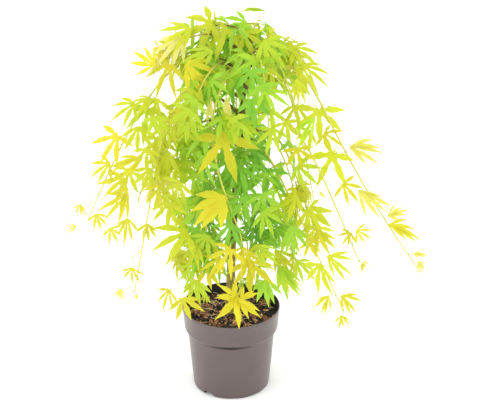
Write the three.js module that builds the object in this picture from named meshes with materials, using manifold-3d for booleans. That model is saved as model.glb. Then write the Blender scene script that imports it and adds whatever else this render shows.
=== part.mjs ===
// A weeping Japanese maple in a round nursery pot. One slim, slightly leaning trunk carries arching
// boughs, and each bough ends in a mass of foliage that hangs from it like a curtain.
// Millimetres, +Z up. The origin is the middle of the pot's flat underside, and -Y is the front.

import * as THREE from 'three';
import { mergeVertices } from 'three/addons/utils/BufferGeometryUtils.js';
import Module from 'manifold-3d';

const wasm = await Module();
wasm.setup();

// Clearance between neighbouring solids
const GAP = 0.3;

// Pot
const POT_HEIGHT = 170;
const POT_SIDES = 32;
const BASE_RADIUS = 75;
const BASE_CORNER = 5;
const BASE_CORNER_STEPS = 2;
const BODY_TOP_RADIUS = 85.5;
const BAND_HEIGHT = 45;
const BAND_RADII = { foot: 91.7, rim: 95 };
const BAND_STEP_HEIGHT = 4;
const RIM_BEVEL = { width: 0.5, height: 1.5 };
const POT_WALL = 1.8;
const POT_FLOOR = 5;
const NOTCH = { count: 3, turn: 230, width: 20, depth: 10, height: 4 };

// Soil
const SOIL_LEVEL = 155;
const SOIL_EDGE_DROP = 4;
const SOIL_FLAT_RADIUS = 20;

// Trunk, from its flat cut on the soil to the tip of its leader
const TRUNK_FOOT = SOIL_LEVEL + GAP;
const TRUNK_PATH = [[-1, 0, TRUNK_FOOT], [0, 0, 240], [7, 3, 380], [17, 4, 500], [27, 2, 620], [44, -2, 700]];
const TRUNK_SIDES = 10;
const TRUNK_STEPS = 13;
const HEIGHT_HALVINGS = 14;
const TRUNK_RADII = { foot: 9.2, tip: 3.6 };
const FLARE = { extra: 3.2, height: 16 };

// Boughs and the stems of the masses
const BOUGH_SIDES = 5;
const BOUGH_STEPS = 4;
const BOUGH_RADII = { foot: 3.6, tip: 1.9 };
const BOUGH_SHARE = 0.34;
const STEM_STEPS = { shoot: 7, spur: 4 };
const STEM_RADII = { foot: 1.9, tip: 1.1 };

// Side twigs. Place says how far along its part of the stem a twig stands. Spread, bow, lean and drop are
// shares of a twig's length.
const TWIG_PLACE = { least: 0.45, most: 0.8, bareTip: 0.3 };
const TWIG_SIDES = 3;
const TWIG_STEPS = 2;
const TWIG_RADII = { foot: 1.3, tip: 1 };
const TWIG_LENGTH = { least: 50, most: 95 };
const TWIG_SPREAD = 0.62;
const TWIG_BOW = { side: 0.42, along: 0.22 };
const TWIG_LEAN = { least: 0.1, most: 0.5 };
const TWIG_DROP = { least: 0.35, most: 0.7 };
const TWIG_LEAF_SHARE = 0.88;

// Leaves and their stalks. Slopes are degrees below level, on a level stem and on one that hangs straight.
const LEAF_SPACING = { shoot: 68, spur: 52 };
const LEAF_LENGTH = { shoot: 64, spur: 76 };
const LEAF_VARIETY = { least: 0.85, most: 1.12 };
const LEAF_HALF_THICKNESS = 0.016;
const LEAF_TUBE_SIDES = 4;
const TIP_LEAF_SHARE = 0.45;
const TIP_LEAVES_AT = 0.98;
const LONG_STEM = 250;
const STALK_LENGTH = { least: 24, most: 40 };
const STALK_RADIUS = 0.5;
const YOUNG_STALK_SHARE = 0.3;
const STALK_SLOPE = { level: -30, hanging: 25, scatter: 12 };
const LEAF_SLOPE = { level: 5, hanging: 66, scatter: 20 };
const LEAF_OUTWARD = 1.6;
const LEAF_TRIES = 5;
const ROOT_VOLUME = { least: 0.05, most: 2 };

// Leaves turn their faces outwards, upwards and to the side of the light.
const FACE_OUTWARD = 0.6;
const FACE_SWAY = 0.5;
const LIGHT = new THREE.Vector3(-0.2, -0.8, 1.05);

// Where the stalk meets the blade, short of the point that its lobes spread from, as a share of its length,
// and the least that stalk and blade run the same way, as the cosine of the angle between them
const LEAF_BASE = 0.03;
const LEAST_ALIGNED = 0.4;

// Half of a leaf's outline, from its outer lobe round to the tip of its middle lobe. Each row is the angle
// from that lobe, how far the edge reaches there as a share of the leaf's length, and how far it droops.
const LEAF_OUTLINE = [
  { angle: 104, reach: 0.6, droop: 0.12 },
  { angle: 74, reach: 0.28, droop: 0.01 },
  { angle: 46, reach: 0.93, droop: 0.16 },
  { angle: 22, reach: 0.34, droop: 0.01 },
  { angle: 0, reach: 1, droop: 0.16 },
];

// Each shoot arches off the trunk at a height, towards a compass turn in degrees (0 is the right, 270 the
// front). Out is measured from the trunk and up from the foot, except that the tip's height is above the
// ground. The first stretch of a shoot is its bough, and the rest is the stem of its mass.
const SHOOTS = [
  { name: 'right_long', turn: -8, foot: 640, rise: [150, 80], elbow: [80, -20], tip: [335, 262], twigs: 1 },
  { name: 'left_long', turn: 180, foot: 636, rise: [90, 112], elbow: [165, 45], tip: [302, 350], twigs: 3 },
  { name: 'front_left', turn: 207, foot: 600, rise: [170, 105], elbow: [150, 5], tip: [230, 250], twigs: 2 },
  { name: 'right_fall', turn: -22, foot: 560, rise: [100, 65], elbow: [135, -35], tip: [238, 305], twigs: 0 },
  { name: 'front_right', turn: -42, foot: 500, rise: [45, 75], elbow: [95, -20], tip: [260, 245], twigs: 1 },
  { name: 'front_long', turn: 262, foot: 650, rise: [55, 80], elbow: [140, 50], tip: [150, 305], twigs: 1 },
  { name: 'back_long', turn: 95, foot: 621, rise: [90, 105], elbow: [170, 30], tip: [260, 320], twigs: 1 },
  { name: 'back_left_long', turn: 124, foot: 605, rise: [90, 100], elbow: [160, 20], tip: [240, 305], twigs: 2 },
  { name: 'back_right_long', turn: 55, foot: 610, rise: [90, 95], elbow: [150, 10], tip: [250, 285], twigs: 1 },
  { name: 'back_left_fall', turn: 158, foot: 560, rise: [70, 80], elbow: [120, 20], tip: [190, 370], twigs: 2 },
  { name: 'back_right_fall', turn: 26, foot: 500, rise: [60, 75], elbow: [105, 0], tip: [160, 285], twigs: 1 },
  { name: 'left_fall', turn: 240, foot: 500, rise: [60, 70], elbow: [105, 0], tip: [150, 265], twigs: 1 },
];

// Spurs are short leafy shoots straight off the trunk. They make the dome of the crown and fill its middle.
const SPURS = [
  { name: 'top', turn: 170, foot: 692, rise: [5, 50], elbow: [45, 60], tip: [115, 725], twigs: 1 },
  { name: 'top_left', turn: 190, foot: 664, rise: [40, 90], elbow: [120, 90], tip: [190, 655], twigs: 2 },
  { name: 'top_right', turn: 8, foot: 680, rise: [30, 65], elbow: [80, 60], tip: [125, 600], twigs: 1 },
  { name: 'top_front', turn: 284, foot: 668, rise: [40, 72], elbow: [105, 62], tip: [145, 575], twigs: 1 },
  { name: 'top_back', turn: 80, foot: 665, rise: [40, 85], elbow: [105, 85], tip: [150, 610], twigs: 1 },
  { name: 'top_front_left', turn: 232, foot: 620, rise: [40, 100], elbow: [115, 95], tip: [165, 590], twigs: 2 },
  { name: 'top_front_right', turn: 322, foot: 655, rise: [40, 66], elbow: [90, 52], tip: [120, 550], twigs: 1 },
  { name: 'top_back_left', turn: 142, foot: 648, rise: [40, 92], elbow: [110, 85], tip: [160, 600], twigs: 1 },
  { name: 'top_back_right', turn: 35, foot: 652, rise: [40, 75], elbow: [90, 65], tip: [130, 570], twigs: 1 },
  { name: 'middle_front', turn: 265, foot: 540, rise: [35, 50], elbow: [90, 30], tip: [125, 430], twigs: 1 },
  { name: 'middle_right', turn: 345, foot: 520, rise: [35, 50], elbow: [80, 20], tip: [110, 400], twigs: 1 },
  { name: 'middle_back', turn: 78, foot: 530, rise: [35, 50], elbow: [90, 30], tip: [125, 420], twigs: 1 },
  { name: 'middle_left', turn: 188, foot: 535, rise: [35, 50], elbow: [140, 30], tip: [195, 405], twigs: 2 },
  { name: 'low_front', turn: 285, foot: 400, rise: [30, 45], elbow: [75, 25], tip: [105, 280], twigs: 1 },
  { name: 'low_left', turn: 218, foot: 390, rise: [30, 45], elbow: [70, 20], tip: [100, 265], twigs: 1 },
  { name: 'low_back', turn: 120, foot: 410, rise: [30, 45], elbow: [75, 25], tip: [105, 295], twigs: 1 },
  { name: 'low_right', turn: 355, foot: 385, rise: [30, 45], elbow: [80, 20], tip: [125, 245], twigs: 1 },
];

// Where leaves begin along a spur, and along a side twig
const SPUR_LEAVES_FROM = 0.12;
const TWIG_LEAVES_FROM = 0.2;

// Where a stem runs straight outwards, within about six degrees, its sides are level instead of square to it.
const LEAST_TURN = 0.1;

// Numbers that start the random choices of the growth rule
const SHOOT_SEED = 1400;
const SPUR_SEED = 1450;
const LEAF_SEED_STEP = 331;

// Fineness of the solids
const MERGE_DISTANCE = 1e-3;
const SIMPLIFY_WITHIN = 0.01;

const BARK = new THREE.MeshStandardMaterial({ color: 0x7a6a3c, roughness: 0.8, metalness: 0 });
const SHOOT_BARK = new THREE.MeshStandardMaterial({ color: 0x9a8a3a, roughness: 0.7, metalness: 0 });
const FOLIAGE = new THREE.MeshStandardMaterial({ color: 0xaed136, roughness: 0.55, metalness: 0 });
const PLASTIC = new THREE.MeshStandardMaterial({ color: 0x7f7471, roughness: 0.5, metalness: 0 });
const SOIL = new THREE.MeshStandardMaterial({ color: 0x3d2a1c, roughness: 0.95, metalness: 0 });

const UP = new THREE.Vector3(0, 0, 1);
const tree = new THREE.Group();

// Solids and meshes

// The solid inside a closed surface. Triangles that merging its corners has collapsed are left out.
function solidFrom(geometry) {
  const bare = geometry.clone();
  bare.deleteAttribute('normal');
  bare.deleteAttribute('uv');
  const merged = mergeVertices(bare, MERGE_DISTANCE);
  const corners = merged.index.array;
  const kept = [];
  for (let i = 0; i < corners.length; i += 3) {
    const [a, b, c] = corners.slice(i, i + 3);
    if (a !== b && b !== c && c !== a) kept.push(a, b, c);
  }
  return new wasm.Manifold(new wasm.Mesh({
    numProp: 3,
    vertProperties: new Float32Array(merged.getAttribute('position').array),
    triVerts: new Uint32Array(kept),
  }));
}

function geometryFrom(solid) {
  const mesh = solid.getMesh();
  const geometry = new THREE.BufferGeometry();
  geometry.setAttribute('position', new THREE.BufferAttribute(mesh.vertProperties, 3));
  geometry.setIndex(new THREE.BufferAttribute(mesh.triVerts, 1));
  geometry.computeVertexNormals();
  return geometry;
}

// The largest closed body of a solid, without scraps or sealed hollows.
function mainBody(solid) {
  const bodies = solid.simplify(SIMPLIFY_WITHIN).decompose();
  return bodies.reduce((best, body) => (body.volume() > best.volume() ? body : best));
}

function place(name, solid, material) {
  const mesh = new THREE.Mesh(geometryFrom(solid), material);
  mesh.name = name;
  tree.add(mesh);
}

// A cylinder bent along a curve. radiusAt gives the radius at a share of the curve's length.
function limb(curve, sides, steps, radiusAt) {
  const frames = curve.computeFrenetFrames(steps);
  const tube = new THREE.CylinderGeometry(1, 1, 1, sides, steps);
  const position = tube.getAttribute('position');
  const point = new THREE.Vector3();
  for (let i = 0; i < position.count; i++) {
    const step = Math.round((position.getY(i) + 0.5) * steps);
    const radius = radiusAt(step / steps);
    curve.getPointAt(step / steps, point);
    point.addScaledVector(frames.normals[step], position.getX(i) * radius);
    point.addScaledVector(frames.binormals[step], -position.getZ(i) * radius);
    position.setXYZ(i, point.x, point.y, point.z);
  }
  return solidFrom(tube);
}

const taper = ({ foot, tip }) => (share) => THREE.MathUtils.lerp(foot, tip, share);

// One stretch of a longer curve, between two shares of its length.
class Stretch extends THREE.Curve {
  constructor(whole, from, to) {
    super();
    this.whole = whole;
    this.from = from;
    this.to = to;
  }

  getPoint(share, target = new THREE.Vector3()) {
    return this.whole.getPointAt(THREE.MathUtils.lerp(this.from, this.to, share), target);
  }
}

// Seeded random numbers from 0 to 1, the same on every run.
function seeded(seed) {
  const modulus = 2147483647;
  let state = (seed * 104729) % modulus;
  return () => {
    state = (state * 48271) % modulus;
    return state / modulus;
  };
}

const within = (random, { least, most }) => THREE.MathUtils.lerp(least, most, random());
const aside = (random, most) => THREE.MathUtils.lerp(-most, most, random());

// Pot and soil

function potOutline() {
  const band = POT_HEIGHT - BAND_HEIGHT;
  const outline = [new THREE.Vector2(0, 0)];
  for (let i = 0; i <= BASE_CORNER_STEPS; i++) {
    const angle = (Math.PI / 2) * (i / BASE_CORNER_STEPS);
    outline.push(new THREE.Vector2(
      BASE_RADIUS - BASE_CORNER * (1 - Math.sin(angle)),
      BASE_CORNER * (1 - Math.cos(angle)),
    ));
  }
  outline.push(
    new THREE.Vector2(BODY_TOP_RADIUS, band),
    new THREE.Vector2(BAND_RADII.foot, band),
    new THREE.Vector2(BAND_RADII.rim, POT_HEIGHT - RIM_BEVEL.height),
    new THREE.Vector2(BAND_RADII.rim - RIM_BEVEL.width, POT_HEIGHT),
    new THREE.Vector2(BAND_RADII.rim - POT_WALL, POT_HEIGHT),
    new THREE.Vector2(BAND_RADII.foot - POT_WALL, band + BAND_STEP_HEIGHT),
    new THREE.Vector2(BODY_TOP_RADIUS - POT_WALL, band),
    new THREE.Vector2(BASE_RADIUS - POT_WALL, POT_FLOOR),
    new THREE.Vector2(0, POT_FLOOR),
  );
  return outline;
}

// A lathe turns about Y, so it is stood up on Z afterwards.
function turned(outline) {
  return new THREE.LatheGeometry(outline, POT_SIDES).rotateX(Math.PI / 2);
}

function makePot() {
  let pot = solidFrom(turned(potOutline()));
  for (let i = 0; i < NOTCH.count; i++) {
    const turn = THREE.MathUtils.degToRad(NOTCH.turn + (360 * i) / NOTCH.count);
    const block = new THREE.BoxGeometry(NOTCH.depth, NOTCH.width, NOTCH.height * 2)
      .translate(BASE_RADIUS, 0, 0)
      .rotateZ(turn);
    pot = pot.subtract(solidFrom(block));
  }
  return pot;
}

// The soil fills the pot to just under its rim and keeps clear of its wall.
function makeSoil() {
  const band = POT_HEIGHT - BAND_HEIGHT;
  const edge = SOIL_LEVEL - SOIL_EDGE_DROP;
  const clear = POT_WALL + 2 * GAP;
  const edgeRadius = THREE.MathUtils.mapLinear(edge, band, POT_HEIGHT, BAND_RADII.foot, BAND_RADII.rim);
  return solidFrom(turned([
    new THREE.Vector2(0, POT_FLOOR + GAP),
    new THREE.Vector2(BASE_RADIUS - clear, POT_FLOOR + GAP),
    new THREE.Vector2(BODY_TOP_RADIUS - clear, band),
    new THREE.Vector2(BAND_RADII.foot - clear, band + BAND_STEP_HEIGHT + GAP),
    new THREE.Vector2(edgeRadius - clear, edge),
    new THREE.Vector2(SOIL_FLAT_RADIUS, SOIL_LEVEL),
    new THREE.Vector2(0, SOIL_LEVEL),
  ]));
}

// Trunk and boughs

const trunkLine = new THREE.CatmullRomCurve3(TRUNK_PATH.map((point) => new THREE.Vector3(...point)));
const TRUNK_LENGTH = trunkLine.getLength();

function trunkRadius(share) {
  return taper(TRUNK_RADII)(share) + FLARE.extra * Math.exp((-share * TRUNK_LENGTH) / FLARE.height);
}

// The point on the trunk's line at a height above the ground, found by halving.
function trunkAt(height) {
  let low = 0;
  let high = 1;
  for (let i = 0; i < HEIGHT_HALVINGS; i++) {
    const middle = (low + high) / 2;
    if (trunkLine.getPointAt(middle).z < height) low = middle;
    else high = middle;
  }
  return trunkLine.getPointAt(low);
}

// The trunk, or the room it takes with a clearance off its flat sides.
function makeTrunk(clearance) {
  const extra = clearance / Math.cos(Math.PI / TRUNK_SIDES);
  const trunk = limb(trunkLine, TRUNK_SIDES, TRUNK_STEPS, (share) => trunkRadius(share) + extra);
  const below = new THREE.BoxGeometry(POT_HEIGHT, POT_HEIGHT, POT_HEIGHT)
    .translate(0, 0, TRUNK_FOOT - POT_HEIGHT / 2);
  return trunk.subtract(solidFrom(below));
}

// The arch of a shoot, from the middle of the trunk to its hanging tip.
function archOf({ turn, foot, rise, elbow, tip }) {
  const start = trunkAt(foot);
  const away = new THREE.Vector3(1, 0, 0).applyAxisAngle(UP, THREE.MathUtils.degToRad(turn));
  const reach = ([out, up]) => start.clone().addScaledVector(away, out).addScaledVector(UP, up);
  const end = start.clone().addScaledVector(away, tip[0]).setZ(tip[1]);
  return new THREE.CubicBezierCurve3(start, reach(rise), reach(elbow), end);
}

// Twigs and leaves

// The frame of growth at a share along a limb: a point on its middle line, the way it runs, outwards from
// the trunk and sideways. The middle line is straight between the rings of the limb.
function growthAt({ curve, steps }, share, axis) {
  const ring = Math.min(Math.floor(share * steps), steps - 1);
  const next = curve.getPointAt((ring + 1) / steps);
  const point = curve.getPointAt(ring / steps).lerp(next, share * steps - ring);
  const along = curve.getTangentAt(share);
  const out = point.clone().sub(axis).setZ(0).normalize();
  const side = new THREE.Vector3().crossVectors(along, out);
  if (side.length() < LEAST_TURN) side.crossVectors(UP, out);
  return { point, along, out, side: side.normalize() };
}

// Side twigs leave a stem to the left and right in turn and hang over under their own weight.
function twigsOf(stem, axis, count, random) {
  const twigs = [];
  for (let i = 0; i < count; i++) {
    const share = (i + within(random, TWIG_PLACE)) / (count + TWIG_PLACE.bareTip);
    const { point, along, out, side } = growthAt(stem, share, axis);
    const length = within(random, TWIG_LENGTH);
    const hand = i % 2 ? length : -length;
    const lean = length * within(random, TWIG_LEAN);
    const middle = point.clone()
      .addScaledVector(side, hand * TWIG_BOW.side)
      .addScaledVector(along, length * TWIG_BOW.along)
      .addScaledVector(out, lean / 2);
    const end = point.clone()
      .addScaledVector(side, hand * TWIG_SPREAD)
      .addScaledVector(out, lean)
      .addScaledVector(UP, -length * within(random, TWIG_DROP));
    twigs.push(new THREE.QuadraticBezierCurve3(point, middle, end));
  }
  return twigs;
}

// A direction that points the same way over the ground as another, at a slope below level in degrees.
function sloped(level, degrees) {
  const slope = THREE.MathUtils.degToRad(degrees);
  return level.clone().multiplyScalar(Math.cos(slope)).addScaledVector(UP, -Math.sin(slope));
}

// How a leaf sits: the root and way of its stalk, and the way, width and face of its blade.
function leafPose({ point, along, out, side }, hand, length, random) {
  const level = side.clone().multiplyScalar(hand)
    .addScaledVector(out, LEAF_OUTWARD * random())
    .setZ(0)
    .normalize();
  const hanging = 0.5 - 0.5 * along.z;
  const slope = (range) => (
    THREE.MathUtils.lerp(range.level, range.hanging, hanging) + aside(random, range.scatter)
  );
  const stalkWay = sloped(level, slope(STALK_SLOPE));
  const tipward = sloped(level, slope(LEAF_SLOPE));
  const light = LIGHT.clone()
    .addScaledVector(out, FACE_OUTWARD)
    .addScaledVector(side, aside(random, FACE_SWAY));
  const across = new THREE.Vector3().crossVectors(tipward, light).normalize();
  const face = new THREE.Vector3().crossVectors(across, tipward);
  const age = THREE.MathUtils.lerp(YOUNG_STALK_SHARE, 1, length / LEAF_LENGTH.spur);
  const end = point.clone().addScaledVector(stalkWay, age * within(random, STALK_LENGTH));
  return { point, stalkWay, end, tipward, across, face };
}

// A leaf and its stalk in one piece. A four-sided tube starts as the thin stalk, rooted at a twig's centre.
// Its second ring is mitred between stalk and blade. From there on its left and right corners follow the
// outline of the leaf, while its upper and lower corners stay where the lobes meet and give it thickness.
function leaf({ point, stalkWay, end, tipward, across, face }, length) {
  const stalkAcross = new THREE.Vector3().crossVectors(stalkWay, face).normalize();
  const stalkFace = new THREE.Vector3().crossVectors(stalkAcross, stalkWay);
  const mitre = stalkAcross.clone().add(across).normalize();
  const rings = LEAF_OUTLINE.length + 1;
  const tube = new THREE.CylinderGeometry(1, 1, 1, LEAF_TUBE_SIDES, rings);
  const position = tube.getAttribute('position');
  const corner = new THREE.Vector3();
  for (let i = 0; i < position.count; i++) {
    const ring = Math.round((position.getY(i) + 0.5) * rings);
    const x = Math.round(position.getX(i));
    const z = Math.round(position.getZ(i));
    if (ring === 0) {
      corner.copy(point)
        .addScaledVector(stalkAcross, x * STALK_RADIUS)
        .addScaledVector(stalkFace, z * STALK_RADIUS);
    } else if (z !== 0) {
      corner.copy(end).addScaledVector(face, z * length * LEAF_HALF_THICKNESS);
    } else if (ring === 1) {
      corner.copy(end)
        .addScaledVector(stalkWay, -length * LEAF_BASE)
        .addScaledVector(mitre, x * STALK_RADIUS);
    } else {
      const { angle, reach, droop } = LEAF_OUTLINE[ring - 2];
      const bearing = THREE.MathUtils.degToRad(angle);
      corner.copy(end)
        .addScaledVector(across, x * length * reach * Math.sin(bearing))
        .addScaledVector(tipward, length * reach * Math.cos(bearing))
        .addScaledVector(face, -length * droop);
    }
    position.setXYZ(i, corner.x, corner.y, corner.z);
  }
  return solidFrom(tube);
}

// The places of the pairs of leaves along a stem or twig, the last at its tip. Leaves shrink towards it.
function leafNodes(carrier, axis, spacing) {
  const length = carrier.curve.getLength();
  const count = Math.max(1, Math.round((length * (1 - carrier.from)) / spacing));
  return Array.from({ length: count }, (_, i) => {
    const share = Math.min(TIP_LEAVES_AT, THREE.MathUtils.lerp(carrier.from, 1, (i + 1) / count));
    const shrink = THREE.MathUtils.lerp(1, TIP_LEAF_SHARE, share * Math.min(1, length / LONG_STEM));
    return { growth: growthAt(carrier, share, axis), size: carrier.size * shrink };
  });
}

// What is already placed, so that nothing grows into it
const taken = [];

function boxOf(solid) {
  const { min, max } = solid.boundingBox();
  return new THREE.Box3(new THREE.Vector3(...min), new THREE.Vector3(...max));
}

function claim(solid, owner) {
  taken.push({ solid, owner, box: boxOf(solid) });
}

// Whether a solid keeps the gap to everything placed but the named owners.
function isClear(solid, ...owners) {
  const box = boxOf(solid).expandByScalar(GAP);
  return !taken.some((other) => !owners.includes(other.owner) && box.intersectsBox(other.box)
    && solid.minGap(other.solid, GAP * 2) < GAP);
}

// A mass: one stem, its side twigs, and the leaves that have room. A leaf that has none turns another way.
function growMass({ name, curve, steps, stem, seed, from, size, twigs, spacing }) {
  const random = seeded(seed);
  const axis = trunkAt(curve.getPointAt(0).z);
  const carriers = [{ curve, steps, from, size, wood: name }];
  let mass = stem;
  twigsOf(carriers[0], axis, twigs, random).forEach((twig, index) => {
    const wood = limb(twig, TWIG_SIDES, TWIG_STEPS, taper(TWIG_RADII));
    if (!isClear(wood, name)) return;
    mass = mass.add(wood);
    claim(wood, name + index);
    carriers.push({
      curve: twig,
      steps: TWIG_STEPS,
      from: TWIG_LEAVES_FROM,
      size: size * TWIG_LEAF_SHARE,
      wood: name + index,
    });
  });
  let serial = seed * LEAF_SEED_STEP;
  for (const carrier of carriers) {
    leafNodes(carrier, axis, spacing).forEach((node, index) => {
      const pair = carrier.wood + 'pair' + index;
      for (const hand of [-1, 1]) {
        const length = node.size * within(random, LEAF_VARIETY);
        for (let i = 0; i < LEAF_TRIES; i++) {
          const pose = leafPose(node.growth, hand, length, seeded(serial + i));
          if (pose.stalkWay.dot(pose.tipward) < LEAST_ALIGNED) continue;
          const blade = leaf(pose, length);
          const rooted = mass.intersect(blade).volume();
          const isRooted = rooted > ROOT_VOLUME.least && rooted < ROOT_VOLUME.most;
          if (!isRooted || !isClear(blade, pair, carrier.wood)) continue;
          mass = mass.add(blade);
          claim(blade, pair);
          break;
        }
        serial += LEAF_TRIES;
      }
    });
  }
  place(name, mainBody(mass), FOLIAGE);
}

// Assembly: the pot and the wood first, then the masses of the shoots, then the spurs in between them

const core = [
  { name: 'pot', solid: makePot(), material: PLASTIC },
  { name: 'soil', solid: makeSoil(), material: SOIL },
  { name: 'trunk', solid: makeTrunk(0), material: BARK },
];
for (const { name, solid, material } of core) {
  place(name, solid, material);
  claim(solid, name);
}
const trunkRoom = makeTrunk(GAP);

const shoots = SHOOTS.map((shoot, index) => {
  const arch = archOf(shoot);
  const boughLine = new Stretch(arch, 0, BOUGH_SHARE);
  const curve = new Stretch(arch, BOUGH_SHARE + GAP / arch.getLength(), 1);
  const bough = mainBody(limb(boughLine, BOUGH_SIDES, BOUGH_STEPS, taper(BOUGH_RADII)).subtract(trunkRoom));
  place('bough_' + shoot.name, bough, SHOOT_BARK);
  claim(bough, 'bough_' + shoot.name);
  return {
    name: 'foliage_' + shoot.name,
    curve,
    steps: STEM_STEPS.shoot,
    stem: limb(curve, TWIG_SIDES, STEM_STEPS.shoot, taper(STEM_RADII)),
    seed: SHOOT_SEED + index,
    from: 0,
    size: LEAF_LENGTH.shoot,
    twigs: shoot.twigs,
    spacing: LEAF_SPACING.shoot,
  };
});

const spurs = SPURS.map((spur, index) => {
  const curve = archOf(spur);
  return {
    name: 'foliage_' + spur.name,
    curve,
    steps: STEM_STEPS.spur,
    stem: mainBody(limb(curve, TWIG_SIDES, STEM_STEPS.spur, taper(STEM_RADII)).subtract(trunkRoom)),
    seed: SPUR_SEED + index,
    from: SPUR_LEAVES_FROM,
    size: LEAF_LENGTH.spur,
    twigs: spur.twigs,
    spacing: LEAF_SPACING.spur,
  };
});

const masses = [...shoots, ...spurs];
for (const { stem, name } of masses) claim(stem, name);
masses.forEach(growMass);

export default tree;
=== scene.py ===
"""A young weeping Japanese maple in a round nursery pot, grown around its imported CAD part.

The trunk, the boughs and the stems of the foliage follow the growth rule of the CAD part. Here the rule
goes on to finer twigs, with more leaves. Metres, +Z up, the front is -Y.
"""

import math
from bisect import bisect_right
from collections import namedtuple
from itertools import accumulate

import bmesh
import bpy
import numpy as np
from bpy.props import FloatProperty, FloatVectorProperty, IntProperty, PointerProperty
from mathutils import Matrix, Vector


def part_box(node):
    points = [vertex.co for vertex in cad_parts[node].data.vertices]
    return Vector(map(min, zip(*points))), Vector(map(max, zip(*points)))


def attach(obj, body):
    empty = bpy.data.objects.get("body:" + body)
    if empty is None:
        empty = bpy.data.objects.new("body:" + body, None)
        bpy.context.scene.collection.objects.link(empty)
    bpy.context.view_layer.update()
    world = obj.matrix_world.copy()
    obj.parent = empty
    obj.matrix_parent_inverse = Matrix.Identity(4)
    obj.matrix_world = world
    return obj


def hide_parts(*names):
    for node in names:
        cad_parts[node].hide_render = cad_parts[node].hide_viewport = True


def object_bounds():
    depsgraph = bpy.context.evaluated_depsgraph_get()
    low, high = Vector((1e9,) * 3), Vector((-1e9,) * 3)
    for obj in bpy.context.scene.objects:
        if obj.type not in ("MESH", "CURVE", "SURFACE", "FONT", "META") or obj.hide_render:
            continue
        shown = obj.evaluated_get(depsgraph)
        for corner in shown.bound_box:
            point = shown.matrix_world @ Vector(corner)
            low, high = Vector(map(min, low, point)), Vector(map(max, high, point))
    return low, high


bl_info = {
    "name": "Weeping maple",
    "version": (1, 0, 0),
    "blender": (4, 5, 0),
    "location": "3D View > Sidebar > Maple",
    "description": "Builds a weeping Japanese maple in a nursery pot around its CAD part",
    "category": "Add Mesh",
}

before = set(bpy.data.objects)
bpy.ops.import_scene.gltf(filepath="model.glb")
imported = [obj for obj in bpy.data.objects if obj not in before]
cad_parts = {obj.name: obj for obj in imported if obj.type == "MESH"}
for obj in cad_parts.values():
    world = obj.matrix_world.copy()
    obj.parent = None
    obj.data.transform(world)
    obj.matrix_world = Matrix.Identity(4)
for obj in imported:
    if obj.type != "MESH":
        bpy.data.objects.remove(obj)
CAD_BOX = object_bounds()
POT_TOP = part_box("pot")[1]
FOLIAGE = sorted(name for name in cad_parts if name.startswith("foliage_"))
BOUGHS = sorted(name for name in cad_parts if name.startswith("bough_"))

MM = 0.001
UP = Vector((0, 0, 1))
BAND_HEIGHT = 45 * MM

# The growth rule of the CAD part: the line of the trunk in millimetres, then how its limbs arch
TRUNK_PATH = ((-1, 0, 155.3), (0, 0, 240), (7, 3, 380), (17, 4, 500), (27, 2, 620), (44, -2, 700))
CURVE_DIVISIONS = 200
CURVE_NUDGE = 0.005
HEIGHT_HALVINGS = 14
BOUGH_SHARE = 0.34

# Each limb arches off the trunk at the height of its foot, towards a turn in degrees: 0 is the right and
# 270 the front. Rise and elbow are out from the trunk and up from the foot. The tip is out from the trunk
# and up from the ground.
Limb = namedtuple("Limb", "name turn foot rise elbow tip twigs")
SHOOTS = (
    Limb("right_long", -8, 640, (150, 80), (80, -20), (335, 262), 1),
    Limb("left_long", 180, 636, (90, 112), (165, 45), (302, 350), 3),
    Limb("front_left", 207, 600, (170, 105), (150, 5), (230, 250), 2),
    Limb("right_fall", -22, 560, (100, 65), (135, -35), (238, 305), 0),
    Limb("front_right", -42, 500, (45, 75), (95, -20), (260, 245), 1),
    Limb("front_long", 262, 650, (55, 80), (140, 50), (150, 305), 1),
    Limb("back_long", 95, 621, (90, 105), (170, 30), (260, 320), 1),
    Limb("back_left_long", 124, 605, (90, 100), (160, 20), (240, 305), 2),
    Limb("back_right_long", 55, 610, (90, 95), (150, 10), (250, 285), 1),
    Limb("back_left_fall", 158, 560, (70, 80), (120, 20), (190, 370), 2),
    Limb("back_right_fall", 26, 500, (60, 75), (105, 0), (160, 285), 1),
    Limb("left_fall", 240, 500, (60, 70), (105, 0), (150, 265), 1),
)
SPURS = (
    Limb("top", 170, 692, (5, 50), (45, 60), (115, 725), 1),
    Limb("top_left", 190, 664, (40, 90), (120, 90), (190, 655), 2),
    Limb("top_right", 8, 680, (30, 65), (80, 60), (125, 600), 1),
    Limb("top_front", 284, 668, (40, 72), (105, 62), (145, 575), 1),
    Limb("top_back", 80, 665, (40, 85), (105, 85), (150, 610), 1),
    Limb("top_front_left", 232, 620, (40, 100), (115, 95), (165, 590), 2),
    Limb("top_front_right", 322, 655, (40, 66), (90, 52), (120, 550), 1),
    Limb("top_back_left", 142, 648, (40, 92), (110, 85), (160, 600), 1),
    Limb("top_back_right", 35, 652, (40, 75), (90, 65), (130, 570), 1),
    Limb("middle_front", 265, 540, (35, 50), (90, 30), (125, 430), 1),
    Limb("middle_right", 345, 520, (35, 50), (80, 20), (110, 400), 1),
    Limb("middle_back", 78, 530, (35, 50), (90, 30), (125, 420), 1),
    Limb("middle_left", 188, 535, (35, 50), (140, 30), (195, 405), 2),
    Limb("low_front", 285, 400, (30, 45), (75, 25), (105, 280), 1),
    Limb("low_left", 218, 390, (30, 45), (70, 20), (100, 265), 1),
    Limb("low_back", 120, 410, (30, 45), (75, 25), (105, 295), 1),
    Limb("low_right", 355, 385, (30, 45), (80, 20), (125, 245), 1),
)
SHOOT_SEED = 1400
SPUR_SEED = 1450
SPUR_LEAVES_FROM = 0.12
TWIG_LEAVES_FROM = 0.2
TWIG_PLACE = (0.45, 0.8)
TWIG_BARE_TIP = 0.3
TWIG_LENGTH = (50 * MM, 95 * MM)
TWIG_SPREAD = 0.62
TWIG_BOW_SIDE = 0.42
TWIG_BOW_ALONG = 0.22
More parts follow.
